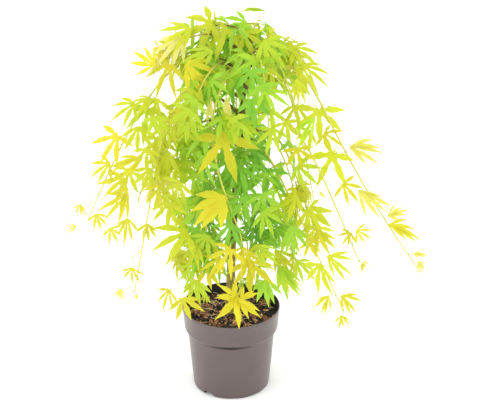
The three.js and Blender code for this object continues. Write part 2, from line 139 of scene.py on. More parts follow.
TWIG_LEAN = (0.1, 0.5)
TWIG_DROP = (0.35, 0.7)
LEAST_TURN = 0.1

# The front shoot strays to the left on its way down. Its wave begins at a share of the shoot, runs for
# another share and ends just past its zero.
FRONT_STRAY = 47 * MM
STRAY_FROM = 0.1
STRAY_RUN = 0.8
STRAY_END = 1.03

# The share of the leaves that grows: in the bell of the crown, at its front and at its back, and then
# beside the bell, before it and behind it
BELL_RADIUS = 135 * MM
BELL_AXIS_X = -6 * MM
BELL_SHARE = (0.78, 0.95)
SIDE_SHARE = 0.32
FRONT_SHARE = 0.5
BACK_SHARE = 0.7
# How much wider than itself a leaf that stands out is kept clear, beside the bell
OUTER_ROOM = 1.35

# Wood that no leaf hides: how near its line of sight is kept clear, the share of its length where that
# begins, into how many steps the whole length is cut, and how many of them are kept clear
Bare = namedtuple("Bare", "width start steps marks")
BARE_TRUNK = Bare(24 * MM, 0, 40, 8)
BARE_SHOOT = Bare(15 * MM, 0.3, 50, 35)

# Finer growth: sprigs are the twigs of boughs, stems and twigs. A shoot bears them only on its first part,
# which is longer at the back.
FINE_SEED_STEP = 977
SPRIG_LENGTH = (32 * MM, 76 * MM)
SPRIG_LEAF_SHARE = 0.82
TWIG_LEAF_SHARE = 0.88
SHOOT_LEAVES_FROM = 0.1
SHOOT_SPRIGS_TO = 0.5
BACK_SPRIGS_TO = 0.85

# Pairs of leaves stand closest near the foot of a stem. Further along, after a delay, the spacing grows.
SPACING_GROWTH = 1.4
SPACING_DELAY = 0.4

# How yellow a spray is: by how far it is from the shaded middle of the crown, in metres in x, y and z, by
# how low it hangs and by how near it is to the tip of its stem
SHADE_MIDDLE = (0.015, 0, 0.42)
SHADE_REACH = (0.07, 0.17, 0.25)
LOW_FROM = 0.34
LOW_RUN = 0.12
OUTER_YELLOW = 0.5
LOW_YELLOW = 0.4
TIP_YELLOW = 0.2
YELLOW_SCATTER = 0.16
SPRAY_SCATTER = 0.12

# Leaves: slopes are degrees below level on a level stem and on a hanging one, then how far they scatter.
# Spread and width are those of a full leaf and of a young one. The middle, half the width and the reach of
# a leaf are shares of its length.
LEAF_VARIETY = (0.75, 1.15)
LEAF_SPREAD = (0.93, 0.42)
LEAF_WIDTH = (0.92, 0.72)
LEAF_MIDDLE = 0.4
LEAF_HALF_WIDTH = 0.5
LEAF_REACH = 0.55
YOUNG_FROM = 0.7
TIP_LEAF_SHARE = 0.3
TIP_LEAVES_AT = 0.985
LONG_STEM = 250 * MM
FULL_LEAF = 70 * MM
STALK_LENGTH = (18 * MM, 36 * MM)
YOUNG_STALK_SHARE = 0.3
STALK_RISE = 0.12
STALK_SLOPE = (-30, 25, 12)
LEAF_SLOPE = (5, 66, 26)
LEAF_OUTWARD = 1.6
FACE_OUTWARD = 0.85
FACE_SWAY = 0.9
FACE_ROLL = math.radians(32)
LIGHT = Vector((0, -0.3, 0.9))
LEAF_TRIES = 5
# How far a blade folds up along its lobes and how far it sags, then how far its lobes droop, and how the
# opening of its fan and the width of its lobes vary
LEAF_HANG = ((0.1, 1.4), (0.1, 0.5))
LEAF_DROOP = (0.0, 0.35)
SPREAD_VARIETY = (0.88, 1.12)
WIDTH_VARIETY = (0.87, 1.13)

# A leaf has five lobes and two small ones at its base. Each is its angle from the middle lobe in degrees
# and its length as a share of the leaf's. Their turn in degrees, length and sweep vary a little.
LOBES = ((-140, 0.25), (-98, 0.70), (-48, 0.92), (0, 1.0), (48, 0.92), (98, 0.70), (140, 0.25))
BASAL_ANGLE = 120
LOBE_TURN = 6
LOBE_VARIETY = 0.08
LOBE_SWEEP = 0.05
# The corners between two lobes, beside the small lobes and at the back of the blade
SINUS_REACH = 0.17
BASAL_SINUS_REACH = SINUS_REACH * 0.6
LOBE_FOOT_REACH = 0.95
SINUS_FOLD = 0.3
LEAF_BACK_ANGLE = 165
LEAF_BACK_REACH = 0.04
# Along a lobe: how far out, and half its width, both as a share of the leaf's length
LOBE_STATIONS = ((0.28, 0.068), (0.46, 0.122), (0.48, 0.104), (0.67, 0.100), (0.69, 0.080), (0.86, 0.038))

# The leaves that stand out from the front. X and z in millimetres are where the foot of the blade shows on
# the upright plane through the middle of the pot. Heading is the way its middle lobe points, in degrees
# anticlockwise from the right. Size is its length in millimetres, and spread is how far its fan of lobes is
# open. The lobes of a folded fan are narrow too, but for a broad leaf.
Shown = namedtuple("Shown", "x z heading size spread tint broad", defaults=[False])
SHOWN_LEAVES = (
    Shown(-13, 520, 291, 82, 1.15, "bright_gold"),
    Shown(-8, 400, 203, 84, 0.5, "bright_gold", True),
    Shown(-45, 250, 275, 46, 0.8, "bright_gold"),
    Shown(0, 290, 225, 56, 0.8, "bright_gold"),
    Shown(-20, 270, 205, 46, 0.8, "bright_gold"),
    Shown(35, 265, 280, 66, 0.9, "bright_gold"),
    Shown(32, 282, 325, 58, 0.7, "bright_gold"),
    Shown(8, 183, 222, 50, 1.25, "bright_gold"),
    Shown(13, 175, 274, 54, 1.25, "bright_gold"),
    Shown(17, 180, 345, 42, 1.0, "bright_gold"),
    Shown(70, 225, 262, 54, 0.5, "mid", True),
    Shown(-70, 225, 275, 54, 0.45, "lime", True),
    Shown(-95, 184, 290, 52, 0.75, "gold"),
    Shown(-120, 202, 250, 44, 0.7, "gold"),
    Shown(165, 577, 273, 68, 1.05, "yellow_lime"),
    Shown(192, 487, 240, 72, 1.2, "yellow_lime"),
    Shown(222, 503, 357, 70, 0.4, "pale_gold"),
    Shown(212, 428, 322, 46, 0.8, "gold"),
    Shown(241, 415, 322, 72, 0.3, "pale_gold"),
    Shown(299, 360, 45, 44, 0.4, "pale_gold"),
    Shown(300, 343, 350, 66, 0.3, "gold"),
    Shown(230, 325, 220, 30, 0.7, "gold"),
    Shown(240, 330, 350, 34, 0.7, "gold"),
    Shown(350, 280, 5, 30, 0.4, "pale_gold"),
    Shown(174, 258, 256, 66, 0.7, "yellow_lime"),
    Shown(185, 275, 334, 62, 0.4, "yellow_lime"),
    Shown(190, 190, 245, 44, 0.4, "gold"),
    Shown(215, 190, 320, 46, 0.5, "gold"),
    Shown(-209, 526, 228, 64, 0.85, "bright_gold"),
    Shown(-175, 590, 200, 54, 0.6, "yellow_lime"),
    Shown(-226, 470, 208, 48, 0.65, "gold"),
    Shown(-255, 365, 285, 34, 0.7, "gold"),
    Shown(-195, 355, 260, 52, 0.55, "gold"),
    Shown(-160, 345, 275, 40, 0.6, "gold"),
    Shown(-230, 335, 300, 32, 0.8, "gold"),
    Shown(-190, 250, 260, 38, 0.6, "gold"),
    Shown(-83, 325, 191, 76, 0.8, "yellow_lime"),
    Shown(-95, 475, 205, 72, 0.6, "yellow_lime"),
    Shown(-170, 545, 270, 54, 0.6, "yellow_lime"),
    Shown(-140, 565, 280, 46, 0.8, "lime"),
    Shown(-33, 745, 190, 64, 1.05, "yellow_lime"),
    Shown(-70, 737, 194, 64, 0.5, "yellow_lime"),
    Shown(-139, 664, 128, 50, 0.6, "bright_gold"),
    Shown(-110, 668, 240, 68, 0.8, "bright_gold"),
    Shown(-80, 670, 322, 76, 0.62, "bright_gold"),
    Shown(66, 769, 158, 56, 0.12, "lime"),
    Shown(75, 720, 75, 28, 0.8, "gold"),
    Shown(130, 665, 330, 62, 0.5, "yellow_lime"),
    Shown(40, 655, 270, 50, 1.0, "deep"),
    Shown(-34, 605, 258, 54, 0.1, "cream"),
    Shown(-8, 607, 275, 66, 0.12, "cream"),
    Shown(-165, 480, 185, 62, 0.35, "gold"),
    Shown(-190, 455, 245, 54, 0.85, "yellow_lime"),
    Shown(-195, 420, 220, 52, 0.7, "gold"),
    Shown(-150, 460, 250, 52, 0.7, "yellow_lime"),
    Shown(-115, 495, 240, 66, 0.6, "yellow_lime"),
    Shown(-130, 425, 250, 52, 0.6, "gold"),
    Shown(-105, 405, 250, 52, 0.6, "yellow_lime"),
    Shown(125, 465, 330, 50, 0.8, "lime"),
    Shown(125, 400, 205, 50, 1.0, "yellow_lime"),
    Shown(150, 380, 330, 50, 0.8, "yellow_lime"),
    Shown(165, 340, 270, 52, 0.7, "yellow_lime"),
    Shown(150, 305, 290, 34, 0.8, "bright_gold"),
    Shown(115, 340, 285, 58, 0.4, "mid"),
    Shown(125, 265, 320, 54, 0.5, "lime"),
    Shown(100, 240, 305, 50, 0.5, "bright_gold"),
    Shown(75, 580, 225, 48, 0.85, "lime"),
    Shown(80, 540, 250, 48, 0.75, "lime"),
    Shown(-135, 600, 250, 54, 0.8, "yellow_lime"),
    Shown(115, 700, 340, 54, 0.7, "yellow_lime"),
    Shown(95, 705, 5, 42, 0.6, "yellow_lime"),
    Shown(-5, 735, 210, 66, 0.9, "yellow_lime"),
    Shown(25, 728, 296, 60, 0.8, "yellow_lime"),
    Shown(60, 710, 325, 62, 0.8, "lime"),
    Shown(55, 625, 295, 50, 0.9, "mid"),
    Shown(-70, 618, 245, 46, 0.8, "yellow_lime"),
    Shown(-80, 475, 250, 54, 0.8, "lime"),
    Shown(-65, 450, 250, 52, 0.8, "fresh"),
    Shown(-95, 430, 235, 50, 0.8, "yellow_lime"),
    Shown(60, 370, 300, 54, 0.7, "fresh"),
    Shown(85, 385, 310, 50, 0.7, "lime"),
    Shown(45, 300, 325, 60, 0.3, "lime"),
    Shown(85, 290, 310, 62, 0.4, "yellow_lime"),
    Shown(-65, 300, 245, 54, 0.7, "yellow_lime"),
    Shown(-45, 320, 245, 52, 0.7, "lime"),
    Shown(8, 186, 118, 44, 0.9, "bright_gold"),
    Shown(40, 600, 285, 52, 0.8, "deep"),
    Shown(-130, 520, 245, 58, 0.8, "yellow_lime"),
    Shown(-85, 722, 220, 68, 0.45, "cream"),
    Shown(-30, 692, 170, 58, 0.5, "lime"),
    Shown(-285, 385, 265, 26, 0.5, "gold"),
    Shown(-295, 340, 200, 24, 0.5, "gold"),
    Shown(-65, 600, 245, 56, 0.7, "fresh"),
    Shown(-75, 580, 245, 58, 0.8, "lime"),
    Shown(25, 400, 285, 58, 0.8, "deep"),
    Shown(0, 345, 255, 54, 0.8, "deep"),
    Shown(60, 405, 285, 54, 0.8, "mid"),
    Shown(-150, 580, 250, 66, 0.9, "lime"),
    Shown(-145, 600, 185, 50, 0.5, "yellow_lime"),
    Shown(-155, 500, 260, 46, 0.8, "yellow_lime"),
    Shown(-200, 440, 220, 58, 0.7, "gold"),
    Shown(-195, 405, 220, 66, 0.5, "gold"),
    Shown(-115, 390, 260, 58, 0.6, "yellow_lime"),
    Shown(90, 260, 302, 84, 0.26, "fresh"),
    Shown(145, 375, 295, 70, 0.6, "yellow_lime"),
    Shown(165, 330, 295, 58, 0.5, "gold"),
    Shown(175, 530, 345, 40, 0.9, "gold"),
    Shown(150, 535, 230, 40, 0.7, "yellow_lime"),
    Shown(158, 563, 224, 64, 0.3, "fresh"),
    Shown(62, 617, 340, 54, 0.7, "fresh"),
    Shown(124, 641, 275, 58, 0.3, "yellow_lime"),
    Shown(125, 500, 280, 44, 0.9, "bright_gold"),
    Shown(25, 295, 260, 38, 0.5, "bright_gold"),
    Shown(215, 145, 285, 26, 0.6, "gold"),
    Shown(-215, 205, 270, 28, 0.4, "pale_gold"),
    Shown(360, 265, 305, 26, 0.4, "pale_gold"),
)
# Where the sky shows between the leaves: x and z as above, and how near no leaf grows
SKY_GAPS = (
    (110, 600, 32),
    (90, 590, 20),
    (80, 520, 27),
    (115, 465, 23),
    (110, 420, 20),
    (-70, 705, 18),
    (135, 335, 21),
    (-300, 345, 18),
    (350, 390, 18),
    (60, 555, 16),
    (-135, 455, 16),
    (150, 605, 20),
    (-110, 620, 38),
    (-125, 575, 22),
    (-115, 505, 20),
    (-165, 385, 27),
    (-285, 340, 20),
    (-170, 272, 24),
    (-210, 280, 24),
    (-120, 290, 18),
    (205, 380, 21),
    (285, 340, 18),
    (210, 580, 18),
    (125, 720, 28),
    (100, 495, 18),
    (112, 467, 24),
    (232, 299, 16),
    (-30, 714, 18),
    (108, 500, 18),
    (-145, 545, 16),
    (-107, 586, 20),
    (-120, 546, 14),
    (50, 730, 14),
    (176, 613, 18),
    (93, 748, 16),
    (60, 750, 14),
)
# Where the camera stands, how far it is turned up from straight down in degrees, and its lens in millimetres
EYE = Vector((0.0368, -2.9084, 1.7426))
CAMERA_TILT = 65.13
CAMERA_LENS = 121.9

# How a leaf that stands out is hung on the wood: the number of marks on each limb where it may hang, how
# much the wood at the front comes first, the length of its stalk, the way its blade faces and how its tip
# leans to the front
WOOD_MARKS = 12
FRONT_FIRST = 0.1
SHOWN_STALK = 22 * MM
LONGEST_STALK = 75 * MM
SHOWN_FACE = Vector((-0.2, -0.8, 1.05))
SHOWN_LEAN = -0.25
SHOWN_LEAN_SCATTER = 0.2
SHOWN_SEED = 71
SHOWN_HANG = ((0.1, 0.6), (0.05, 0.2))
FOLDED_WIDTH = 0.4


# Sizes and colours


def linear(code):
    """The linear colour of an sRGB hex code."""
    values = [int(code[i : i + 2], 16) / 255 for i in (1, 3, 5)]
    return [v / 12.92 if v <= 0.04045 else ((v + 0.055) / 1.055) ** 2.4 for v in values]


def length(name, description, default):
    return FloatProperty(
        name=name, description=description, default=default, unit="LENGTH", precision=4, min=0
    )


def colour(name, description, code):
    return FloatVectorProperty(
        name=name, description=description, default=linear(code), size=3, subtype="COLOR", min=0, max=1
    )


class PotSizes(bpy.types.PropertyGroup):
    """The moulded nursery pot."""

    height: length("Height", "Height of the pot over all", POT_TOP.z)
    rim_radius: length("Rim radius", "Outer radius at the rim", POT_TOP.x)
    band_height: length("Band height", "Height of the plain band below the rim", BAND_HEIGHT)
    band_foot_radius: length("Band foot radius", "Outer radius at the foot of the band", 0.0915)
    body_top_radius: length("Body top radius", "Outer radius of the body just below the band", 0.0848)
    base_radius: length("Base radius", "Outer radius at the base", 0.075)
    wall: length("Wall", "Thickness of the moulded wall", 0.0018)
    notch_width: length("Notch width", "Width of a drainage notch in the foot", 0.023)
    sides: IntProperty(name="Sides", description="Corners around the pot", default=128, min=16)


class SoilSizes(bpy.types.PropertyGroup):
    """The potting mix and what lies on it."""

    level: length("Level", "Height of the potting mix at the trunk", 0.155)
    edge_drop: length("Edge drop", "How far the mix lies lower at the wall", 0.004)
    chip_length: length("Chip length", "Length of the longest bark chips", 0.017)
    chips: IntProperty(name="Chips", description="Number of bark chips", default=620, min=0)
    fibres: IntProperty(name="Fibres", description="Number of loose fibres", default=46, min=0)


class WoodSizes(bpy.types.PropertyGroup):
    """The trunk, boughs, stems and twigs."""

    trunk_foot: length("Trunk foot", "Radius of the trunk above its flare", 0.0092)
    trunk_tip: length("Trunk tip", "Radius of the trunk at its top", 0.0036)
    flare: length("Flare", "How much wider the trunk is at the ground", 0.0032)
    flare_height: length("Flare height", "Height in which the flare falls off", 0.016)
    relief: length("Relief", "Depth of the relief of the bark", 0.0006)
    bough_foot: length("Bough foot", "Radius of a bough at the trunk", 0.0036)
    bough_tip: length("Bough tip", "Radius of a bough where its foliage begins", 0.0019)
    stem_tip: length("Stem tip", "Radius of a stem at its tip", 0.0011)
    twig_foot: length("Twig foot", "Radius of a twig at its stem", 0.0011)
    twig_tip: length("Twig tip", "Radius of a twig at its tip", 0.0006)
    stalk: length("Stalk", "Radius of the stalk of a leaf", 0.00062)


class LeafSizes(bpy.types.PropertyGroup):
    """The leaves and how close they stand."""

    shoot_leaf: length("Shoot leaf", "Length of a full leaf of a long shoot", 0.058)
    spur_leaf: length("Spur leaf", "Length of a full leaf of a spur", 0.052)
    spacing: length("Spacing", "Distance between pairs of leaves", 0.029)
    tip_spacing: length("Tip spacing", "Distance between pairs near the tip of a long shoot", 0.12)
    sprig_spacing: length("Sprig spacing", "Distance between sprigs on a spur or twig", 0.085)
    shoot_sprig_spacing: length("Shoot sprig spacing", "Distance between sprigs on a long shoot", 0.2)
    clearance: length("Clearance", "Least distance between the middles of two leaves", 0.0125)
    shown_clearance: length("Shown clearance", "Room left around a leaf that stands out", 0.022)


class PlantColours(bpy.types.PropertyGroup):
    """The colours of the plant and its pot."""

    pot: colour("Pot", "Injection-moulded plastic", "#4C3C3B")
    mix: colour("Mix", "Damp potting mix", "#0E0906")
    bark_dark: colour("Bark, dark", "Furrows of the bark", "#665820")
    bark_light: colour("Bark, light", "Ridges of the bark", "#9A8C32")
    bough: colour("Bough", "Older bark of the boughs", "#66502A")
    stem: colour("Stem", "Green bark of the stems", "#C6C052")
    twig: colour("Twig", "Skin of young twigs", "#C0C23C")
    stalk: colour("Stalk", "Skin of the stalks of leaves", "#A6AE3A")


class StudioSettings(bpy.types.PropertyGroup):
    """The light of the studio."""

    sky: FloatProperty(name="Sky", description="Strength of the white surroundings", default=1.6, min=0)
    key: FloatProperty(name="Key", description="Power of the key light", default=19, min=0, unit="POWER")
    fill: FloatProperty(name="Fill", description="Power of the fill light", default=8, min=0, unit="POWER")


# Materials


def add_node(tree, kind, **inputs):
    """Adds a node. Each named input gets a value, or a link where an output is given."""
    node = tree.nodes.new(kind)
    for name, value in inputs.items():
        socket = node.inputs[name.replace("_", " ")]
        if isinstance(value, bpy.types.NodeSocket):
            tree.links.new(value, socket)
        else:
            socket.default_value = value
    return node


def new_material(name):
    """A material with its Principled shader."""
    material = bpy.data.materials.new(name)
    material.use_nodes = True
    return material, material.node_tree, material.node_tree.nodes["Principled BSDF"]


def mottled(tree, pattern, dark, light, low, high):
    """A colour between dark and light by a pattern, which is dark below low and light above high."""
    ramp = add_node(tree, "ShaderNodeValToRGB", Fac=pattern)
    ramp.color_ramp.elements[0].position = low
    ramp.color_ramp.elements[0].color = (*dark, 1)
    ramp.color_ramp.elements[1].position = high
    ramp.color_ramp.elements[1].color = (*light, 1)
    return ramp.outputs["Color"]


def multiplied(tree, one, other):
    """The product of two colours of a node tree."""
    product = add_node(tree, "ShaderNodeMix")
    product.data_type = "RGBA"
    product.blend_type = "MULTIPLY"
    product.inputs["Factor"].default_value = 1
    tree.links.new(one, product.inputs["A"])
    tree.links.new(other, product.inputs["B"])
    return product.outputs["Result"]


def shaded(colour, share):
    return [value * share for value in colour]


def pot_plastic(colours):
    # Injection-moulded polypropylene with a fine mould grain: a broad, dull sheen and no sharp reflection.
    material, tree, shader = new_material("moulded_polypropylene")
    place = add_node(tree, "ShaderNodeTexCoord").outputs["Object"]
    # Flow marks of the melt, about 40 mm across, hardly change the tone.
    flow = add_node(tree, "ShaderNodeTexNoise", Vector=place, Scale=25, Detail=3)
    dark, light = shaded(colours.pot, 0.94), shaded(colours.pot, 1.06)
    tone = mottled(tree, flow.outputs["Fac"], dark, light, 0.35, 0.65)
    # Painted shade: a dark crescent in the corner under the band, front and back, an ellipse 10 mm high and
    # 100 mm wide. It stands for the shade under the overhang of the band.
    lowered = add_node(tree, "ShaderNodeMapping", Vector=place, Scale=(2, 0, 20))
    lowered.inputs["Location"].default_value = (0, 0, -PAINTED_SHADE_LINE * 20)
    off = add_node(tree, "ShaderNodeVectorMath", Vector=lowered.outputs["Vector"])
    off.operation = "LENGTH"
    painted_crescent_shade = mottled(tree, off.outputs["Value"], (0.12, 0.1, 0.1), (1, 1, 1), 0.03, 0.12)
    tree.links.new(multiplied(tree, tone, painted_crescent_shade), shader.inputs["Base Color"])
    # The painted shade also dims the reflection in the crescent.
    tree.links.new(painted_crescent_shade, shader.inputs["Specular IOR Level"])
    # The grain is about 1.5 mm, coarser than life, so that it still shows.
    grain = add_node(tree, "ShaderNodeTexNoise", Vector=place, Scale=650, Detail=2)
    bump = add_node(tree, "ShaderNodeBump", Height=grain.outputs["Fac"], Strength=0.06, Distance=0.0004)
    tree.links.new(bump.outputs["Normal"], shader.inputs["Normal"])
    shader.inputs["Roughness"].default_value = 0.3
    shader.inputs["IOR"].default_value = 1.49
    return material


def potting_mix(colours):
    # Damp peat: near black, rough, with rusty crumbs of about 3 mm.
    material, tree, shader = new_material("damp_peat")
    place = add_node(tree, "ShaderNodeTexCoord").outputs["Object"]
    crumbs = add_node(tree, "ShaderNodeTexNoise", Vector=place, Scale=320, Detail=4, Roughness=0.7)
    dark, light = shaded(colours.mix, 0.5), shaded(colours.mix, 2.2)
    tone = mottled(tree, crumbs.outputs["Fac"], dark, light, 0.42, 0.68)
    tree.links.new(tone, shader.inputs["Base Color"])
    bump = add_node(tree, "ShaderNodeBump", Height=crumbs.outputs["Fac"], Strength=0.8, Distance=0.002)
    tree.links.new(bump.outputs["Normal"], shader.inputs["Normal"])
    shader.inputs["Roughness"].default_value = 0.9
    return material


def plain(name, tone, roughness, variety=0.0, scale=200):
    """A dull natural surface. Variety is how far noise of a scale lightens and darkens it."""
    material, tree, shader = new_material(name)
    shader.inputs["Roughness"].default_value = roughness
    shader.inputs["Base Color"].default_value = (*tone, 1)
    if variety:
        place = add_node(tree, "ShaderNodeTexCoord").outputs["Object"]
        noise = add_node(tree, "ShaderNodeTexNoise", Vector=place, Scale=scale, Detail=3)
        dark, light = shaded(tone, 1 - variety), shaded(tone, 1 + variety)
        varied = mottled(tree, noise.outputs["Fac"], dark, light, 0.35, 0.65)
        tree.links.new(varied, shader.inputs["Base Color"])
    return material


def maple_bark(colours):
    # Smooth young maple bark, olive and brown, with fine furrows that run up the trunk.
    material, tree, shader = new_material("young_maple_bark")
    place = add_node(tree, "ShaderNodeTexCoord").outputs["Object"]
    # Squeezed along the trunk, so that the marks are about 3 mm wide and 12 mm long.
    stretched = add_node(tree, "ShaderNodeMapping", Vector=place, Scale=(1, 1, 0.25)).outputs["Vector"]
    furrows = add_node(tree, "ShaderNodeTexNoise", Vector=stretched, Scale=330, Detail=4, Roughness=0.6)
    tone = mottled(tree, furrows.outputs["Fac"], colours.bark_dark, colours.bark_light, 0.36, 0.62)
    # Olive at the foot, and dark brown from 0.4 m up, where the crown shades the trunk: painted shade.
    height = add_node(tree, "ShaderNodeSeparateXYZ", Vector=place).outputs["Z"]
    painted_crown_shade = mottled(tree, height, (1, 1, 1), (0.36, 0.28, 0.34), 0.24, 0.4)
    tree.links.new(multiplied(tree, tone, painted_crown_shade), shader.inputs["Base Color"])
    bump = add_node(tree, "ShaderNodeBump", Height=furrows.outputs["Fac"], Strength=0.3, Distance=0.001)
    tree.links.new(bump.outputs["Normal"], shader.inputs["Normal"])
    shader.inputs["Roughness"].default_value = 0.7
    return material


def shoot_bark(colours):
    # Smooth bark, brown near the trunk, and yellow-green with a dull gloss on the young wood further out.
    material, tree, shader = new_material("green_maple_shoot")
    place = add_node(tree, "ShaderNodeTexCoord").outputs["Object"]
    flat = add_node(tree, "ShaderNodeMapping", Vector=place, Scale=(1, 1, 0)).outputs["Vector"]
    reach = add_node(tree, "ShaderNodeVectorMath", Vector=flat)
    reach.operation = "LENGTH"
    tone = mottled(tree, reach.outputs["Value"], colours.bough, colours.stem, 0.035, 0.095)
    tree.links.new(tone, shader.inputs["Base Color"])
    shader.inputs["Roughness"].default_value = 0.6
    shader.inputs["Specular IOR Level"].default_value = 0.25
    return material


# The growth rule


def seeded(seed):
    """Seeded random numbers from 0 to 1, the same as in the CAD part."""
    modulus = 2147483647
    state = seed * 104729 % modulus

    def draw():
        nonlocal state
        state = state * 48271 % modulus
        return state / modulus

    return draw


def lerp(a, b, share):
    return a + (b - a) * share


def within(draw, span):
    """A random value in a span."""
    return lerp(*span, draw())


def aside(draw, most):
    """A random value to either side of zero."""
    return lerp(-most, most, draw())


class Path:
    """A curve, with points at shares of its length."""

    def __init__(self, point):
        self.point = point
        marks = [point(i / CURVE_DIVISIONS) for i in range(CURVE_DIVISIONS + 1)]
        self.runs = list(accumulate(((b - a).length for a, b in zip(marks, marks[1:])), initial=0.0))
        self.length = self.runs[-1]

    def inner(self, share):
        run = share * self.length
        i = min(max(bisect_right(self.runs, run) - 1, 0), CURVE_DIVISIONS - 1)
        return (i + (run - self.runs[i]) / (self.runs[i + 1] - self.runs[i])) / CURVE_DIVISIONS

    def at(self, share):
        return self.point(self.inner(share))

    def along(self, share):
        middle = self.inner(share)
        before, after = self.point(max(0, middle - CURVE_NUDGE)), self.point(min(1, middle + CURVE_NUDGE))
        return (after - before).normalized()


def stretch(whole, start, end):
    """The part of a path between two shares of its length."""
    return Path(lambda share: whole.at(lerp(start, end, share)))


def trunk_point(share):
    """A centripetal curve through the marks of the trunk."""
    marks = [Vector(mark) * MM for mark in TRUNK_PATH]
    marks = [2 * marks[0] - marks[1], *marks, 2 * marks[-1] - marks[-2]]
    span = min(int(share * (len(marks) - 3)), len(marks) - 4)
    weight = share * (len(marks) - 3) - span
    a, b, c, d = marks[span : span + 4]
    before, between, after = ((q - p).length ** 0.5 for p, q in ((a, b), (b, c), (c, d)))
    leave = ((b - a) / before - (c - a) / (before + between) + (c - b) / between) * between
    arrive = ((c - b) / between - (d - b) / (between + after) + (d - c) / after) * between
    square = -3 * b + 3 * c - 2 * leave - arrive
    cube = 2 * b - 2 * c + leave + arrive
    return b + leave * weight + square * weight**2 + cube * weight**3


TRUNK = Path(trunk_point)


def trunk_at(height):
    """The point on the trunk's line at a height, found by halving."""
    low, high = 0.0, 1.0
    for _ in range(HEIGHT_HALVINGS):
        middle = (low + high) / 2
        if TRUNK.at(middle).z < height:
            low = middle
        else:
            high = middle
    return TRUNK.at(low)


def arch_of(limb):
    """The arch of a limb, from the middle of the trunk to its hanging tip."""
    start = trunk_at(limb.foot * MM)
    turn = math.radians(limb.turn)
    away = Vector((math.cos(turn), math.sin(turn), 0))
    rise, elbow = (start + away * out * MM + UP * up * MM for out, up in (limb.rise, limb.elbow))
    end = start + away * limb.tip[0] * MM
    end.z = limb.tip[1] * MM
    stray = FRONT_STRAY if limb.name == "front_long" else 0

    def point(share):
        rest = 1 - share
        beside = stray * math.sin(math.pi * min(max(share - STRAY_FROM, 0) / STRAY_RUN, STRAY_END) ** 2)
        arch = start * rest**3 + rise * 3 * rest**2 * share + elbow * 3 * rest * share**2 + end * share**3
        return arch + away.cross(UP) * beside

    return Path(point)


Growth = namedtuple("Growth", "point along out side")
Carrier = namedtuple("Carrier", "path start sprigs_to wood_from size radii spacing order")
Leaf = namedtuple("Leaf", "root end tipward across face size spread width fold sag tint")


def growth_at(path, share, axis):
    """The frame of growth: a point, the way the stem runs, outwards from the trunk and sideways."""
    point, along = path.at(share), path.along(share)
    out = point - axis
    out.z = 0
    out.normalize()
    side = along.cross(out)
    if side.length < LEAST_TURN:
        side = UP.cross(out)
    return Growth(point, along, out, side.normalized())


def bow(a, b, c):
    """A curve from a to c, drawn towards b."""
    return Path(lambda share: a * (1 - share) ** 2 + b * 2 * share * (1 - share) + c * share**2)


def twigs_of(path, axis, count, draw, lengths, start=0.0, end=1.0):
    """Side twigs leave a stem to the left and right in turn and hang over under their own weight."""
    twigs = []
    for i in range(count):
        share = lerp(start, end, (i + within(draw, TWIG_PLACE)) / (count + TWIG_BARE_TIP))
        point, along, out, side = growth_at(path, share, axis)
        size = within(draw, lengths)
        hand = size if i % 2 else -size
        lean = size * within(draw, TWIG_LEAN)
        middle = point + side * hand * TWIG_BOW_SIDE + along * size * TWIG_BOW_ALONG + out * (lean / 2)
        tip = point + side * hand * TWIG_SPREAD + out * lean - UP * size * within(draw, TWIG_DROP)
        twigs.append(bow(point, middle, tip))
    return twigs


def carriers_of(limb, seed, is_shoot, wood, leaves):
    """The limb of a mass, its side twigs as in the CAD part, and then finer sprigs on all of them."""
    arch = arch_of(limb)
    stem = stretch(arch, BOUGH_SHARE, 1) if is_shoot else arch
    axis = trunk_at(stem.at(0).z)
    size = leaves.shoot_leaf if is_shoot else leaves.spur_leaf
    radii = (wood.bough_tip, wood.stem_tip)
    spacing = (leaves.spacing, leaves.spacing)
    if is_shoot:
        longer = (leaves.spacing, leaves.tip_spacing)
        sprigs_to = BACK_SPRIGS_TO if 0 < limb.turn < 180 else SHOOT_SPRIGS_TO
        carriers = [Carrier(arch, SHOOT_LEAVES_FROM, sprigs_to, BOUGH_SHARE, size, radii, longer, 0)]
    else:
        carriers = [Carrier(arch, SPUR_LEAVES_FROM, 1, 0, size, radii, spacing, 0)]
    radii = (wood.twig_foot, wood.twig_tip)
    for twig in twigs_of(stem, axis, limb.twigs, seeded(seed), TWIG_LENGTH):
        carriers.append(Carrier(twig, TWIG_LEAVES_FROM, 1, 0, size * TWIG_LEAF_SHARE, radii, spacing, 1))
    draw = seeded(seed * FINE_SEED_STEP)
    radii = (wood.twig_tip, wood.stalk)
    for carrier in tuple(carriers):
        span = (carrier.start, carrier.sprigs_to)
        sparse = is_shoot and carrier.order == 0
        spacing_here = leaves.shoot_sprig_spacing if sparse else leaves.sprig_spacing
        count = round(carrier.path.length * (span[1] - span[0]) / spacing_here)
        for sprig in twigs_of(carrier.path, axis, count, draw, SPRIG_LENGTH, *span):
            size = carrier.size * SPRIG_LEAF_SHARE
            carriers.append(Carrier(sprig, TWIG_LEAVES_FROM, 1, 0, size, radii, spacing, 2))
    return axis, carriers


def sloped(level, degrees):
    """A level direction turned down."""
    slope = math.radians(degrees)
    return level * math.cos(slope) - UP * math.sin(slope)


def rolled(across, face, roll):
    """A leaf turned about the line of its middle lobe."""
    return across * math.cos(roll) + face * math.sin(roll), face * math.cos(roll) - across * math.sin(roll)


def leaf_pose(growth, hand, size, draw):
    """How a leaf sits: where its stalk ends, and the way, width and face of its blade."""
    point, along, out, side = growth
    level = side * hand + out * LEAF_OUTWARD * draw()
    level.z = 0
    level.normalize()
    hanging = 0.5 - 0.5 * along.z
    stalk_way, tipward = (
        sloped(level, lerp(upper, lower, hanging) + aside(draw, scatter))
        for upper, lower, scatter in (STALK_SLOPE, LEAF_SLOPE)
    )
    light = LIGHT + out * FACE_OUTWARD + side * aside(draw, FACE_SWAY)
    across = tipward.cross(light).normalized()
    end = point + stalk_way * lerp(YOUNG_STALK_SHARE, 1, size / FULL_LEAF) * within(draw, STALK_LENGTH)
    return end, tipward, *rolled(across, across.cross(tipward), aside(draw, FACE_ROLL))


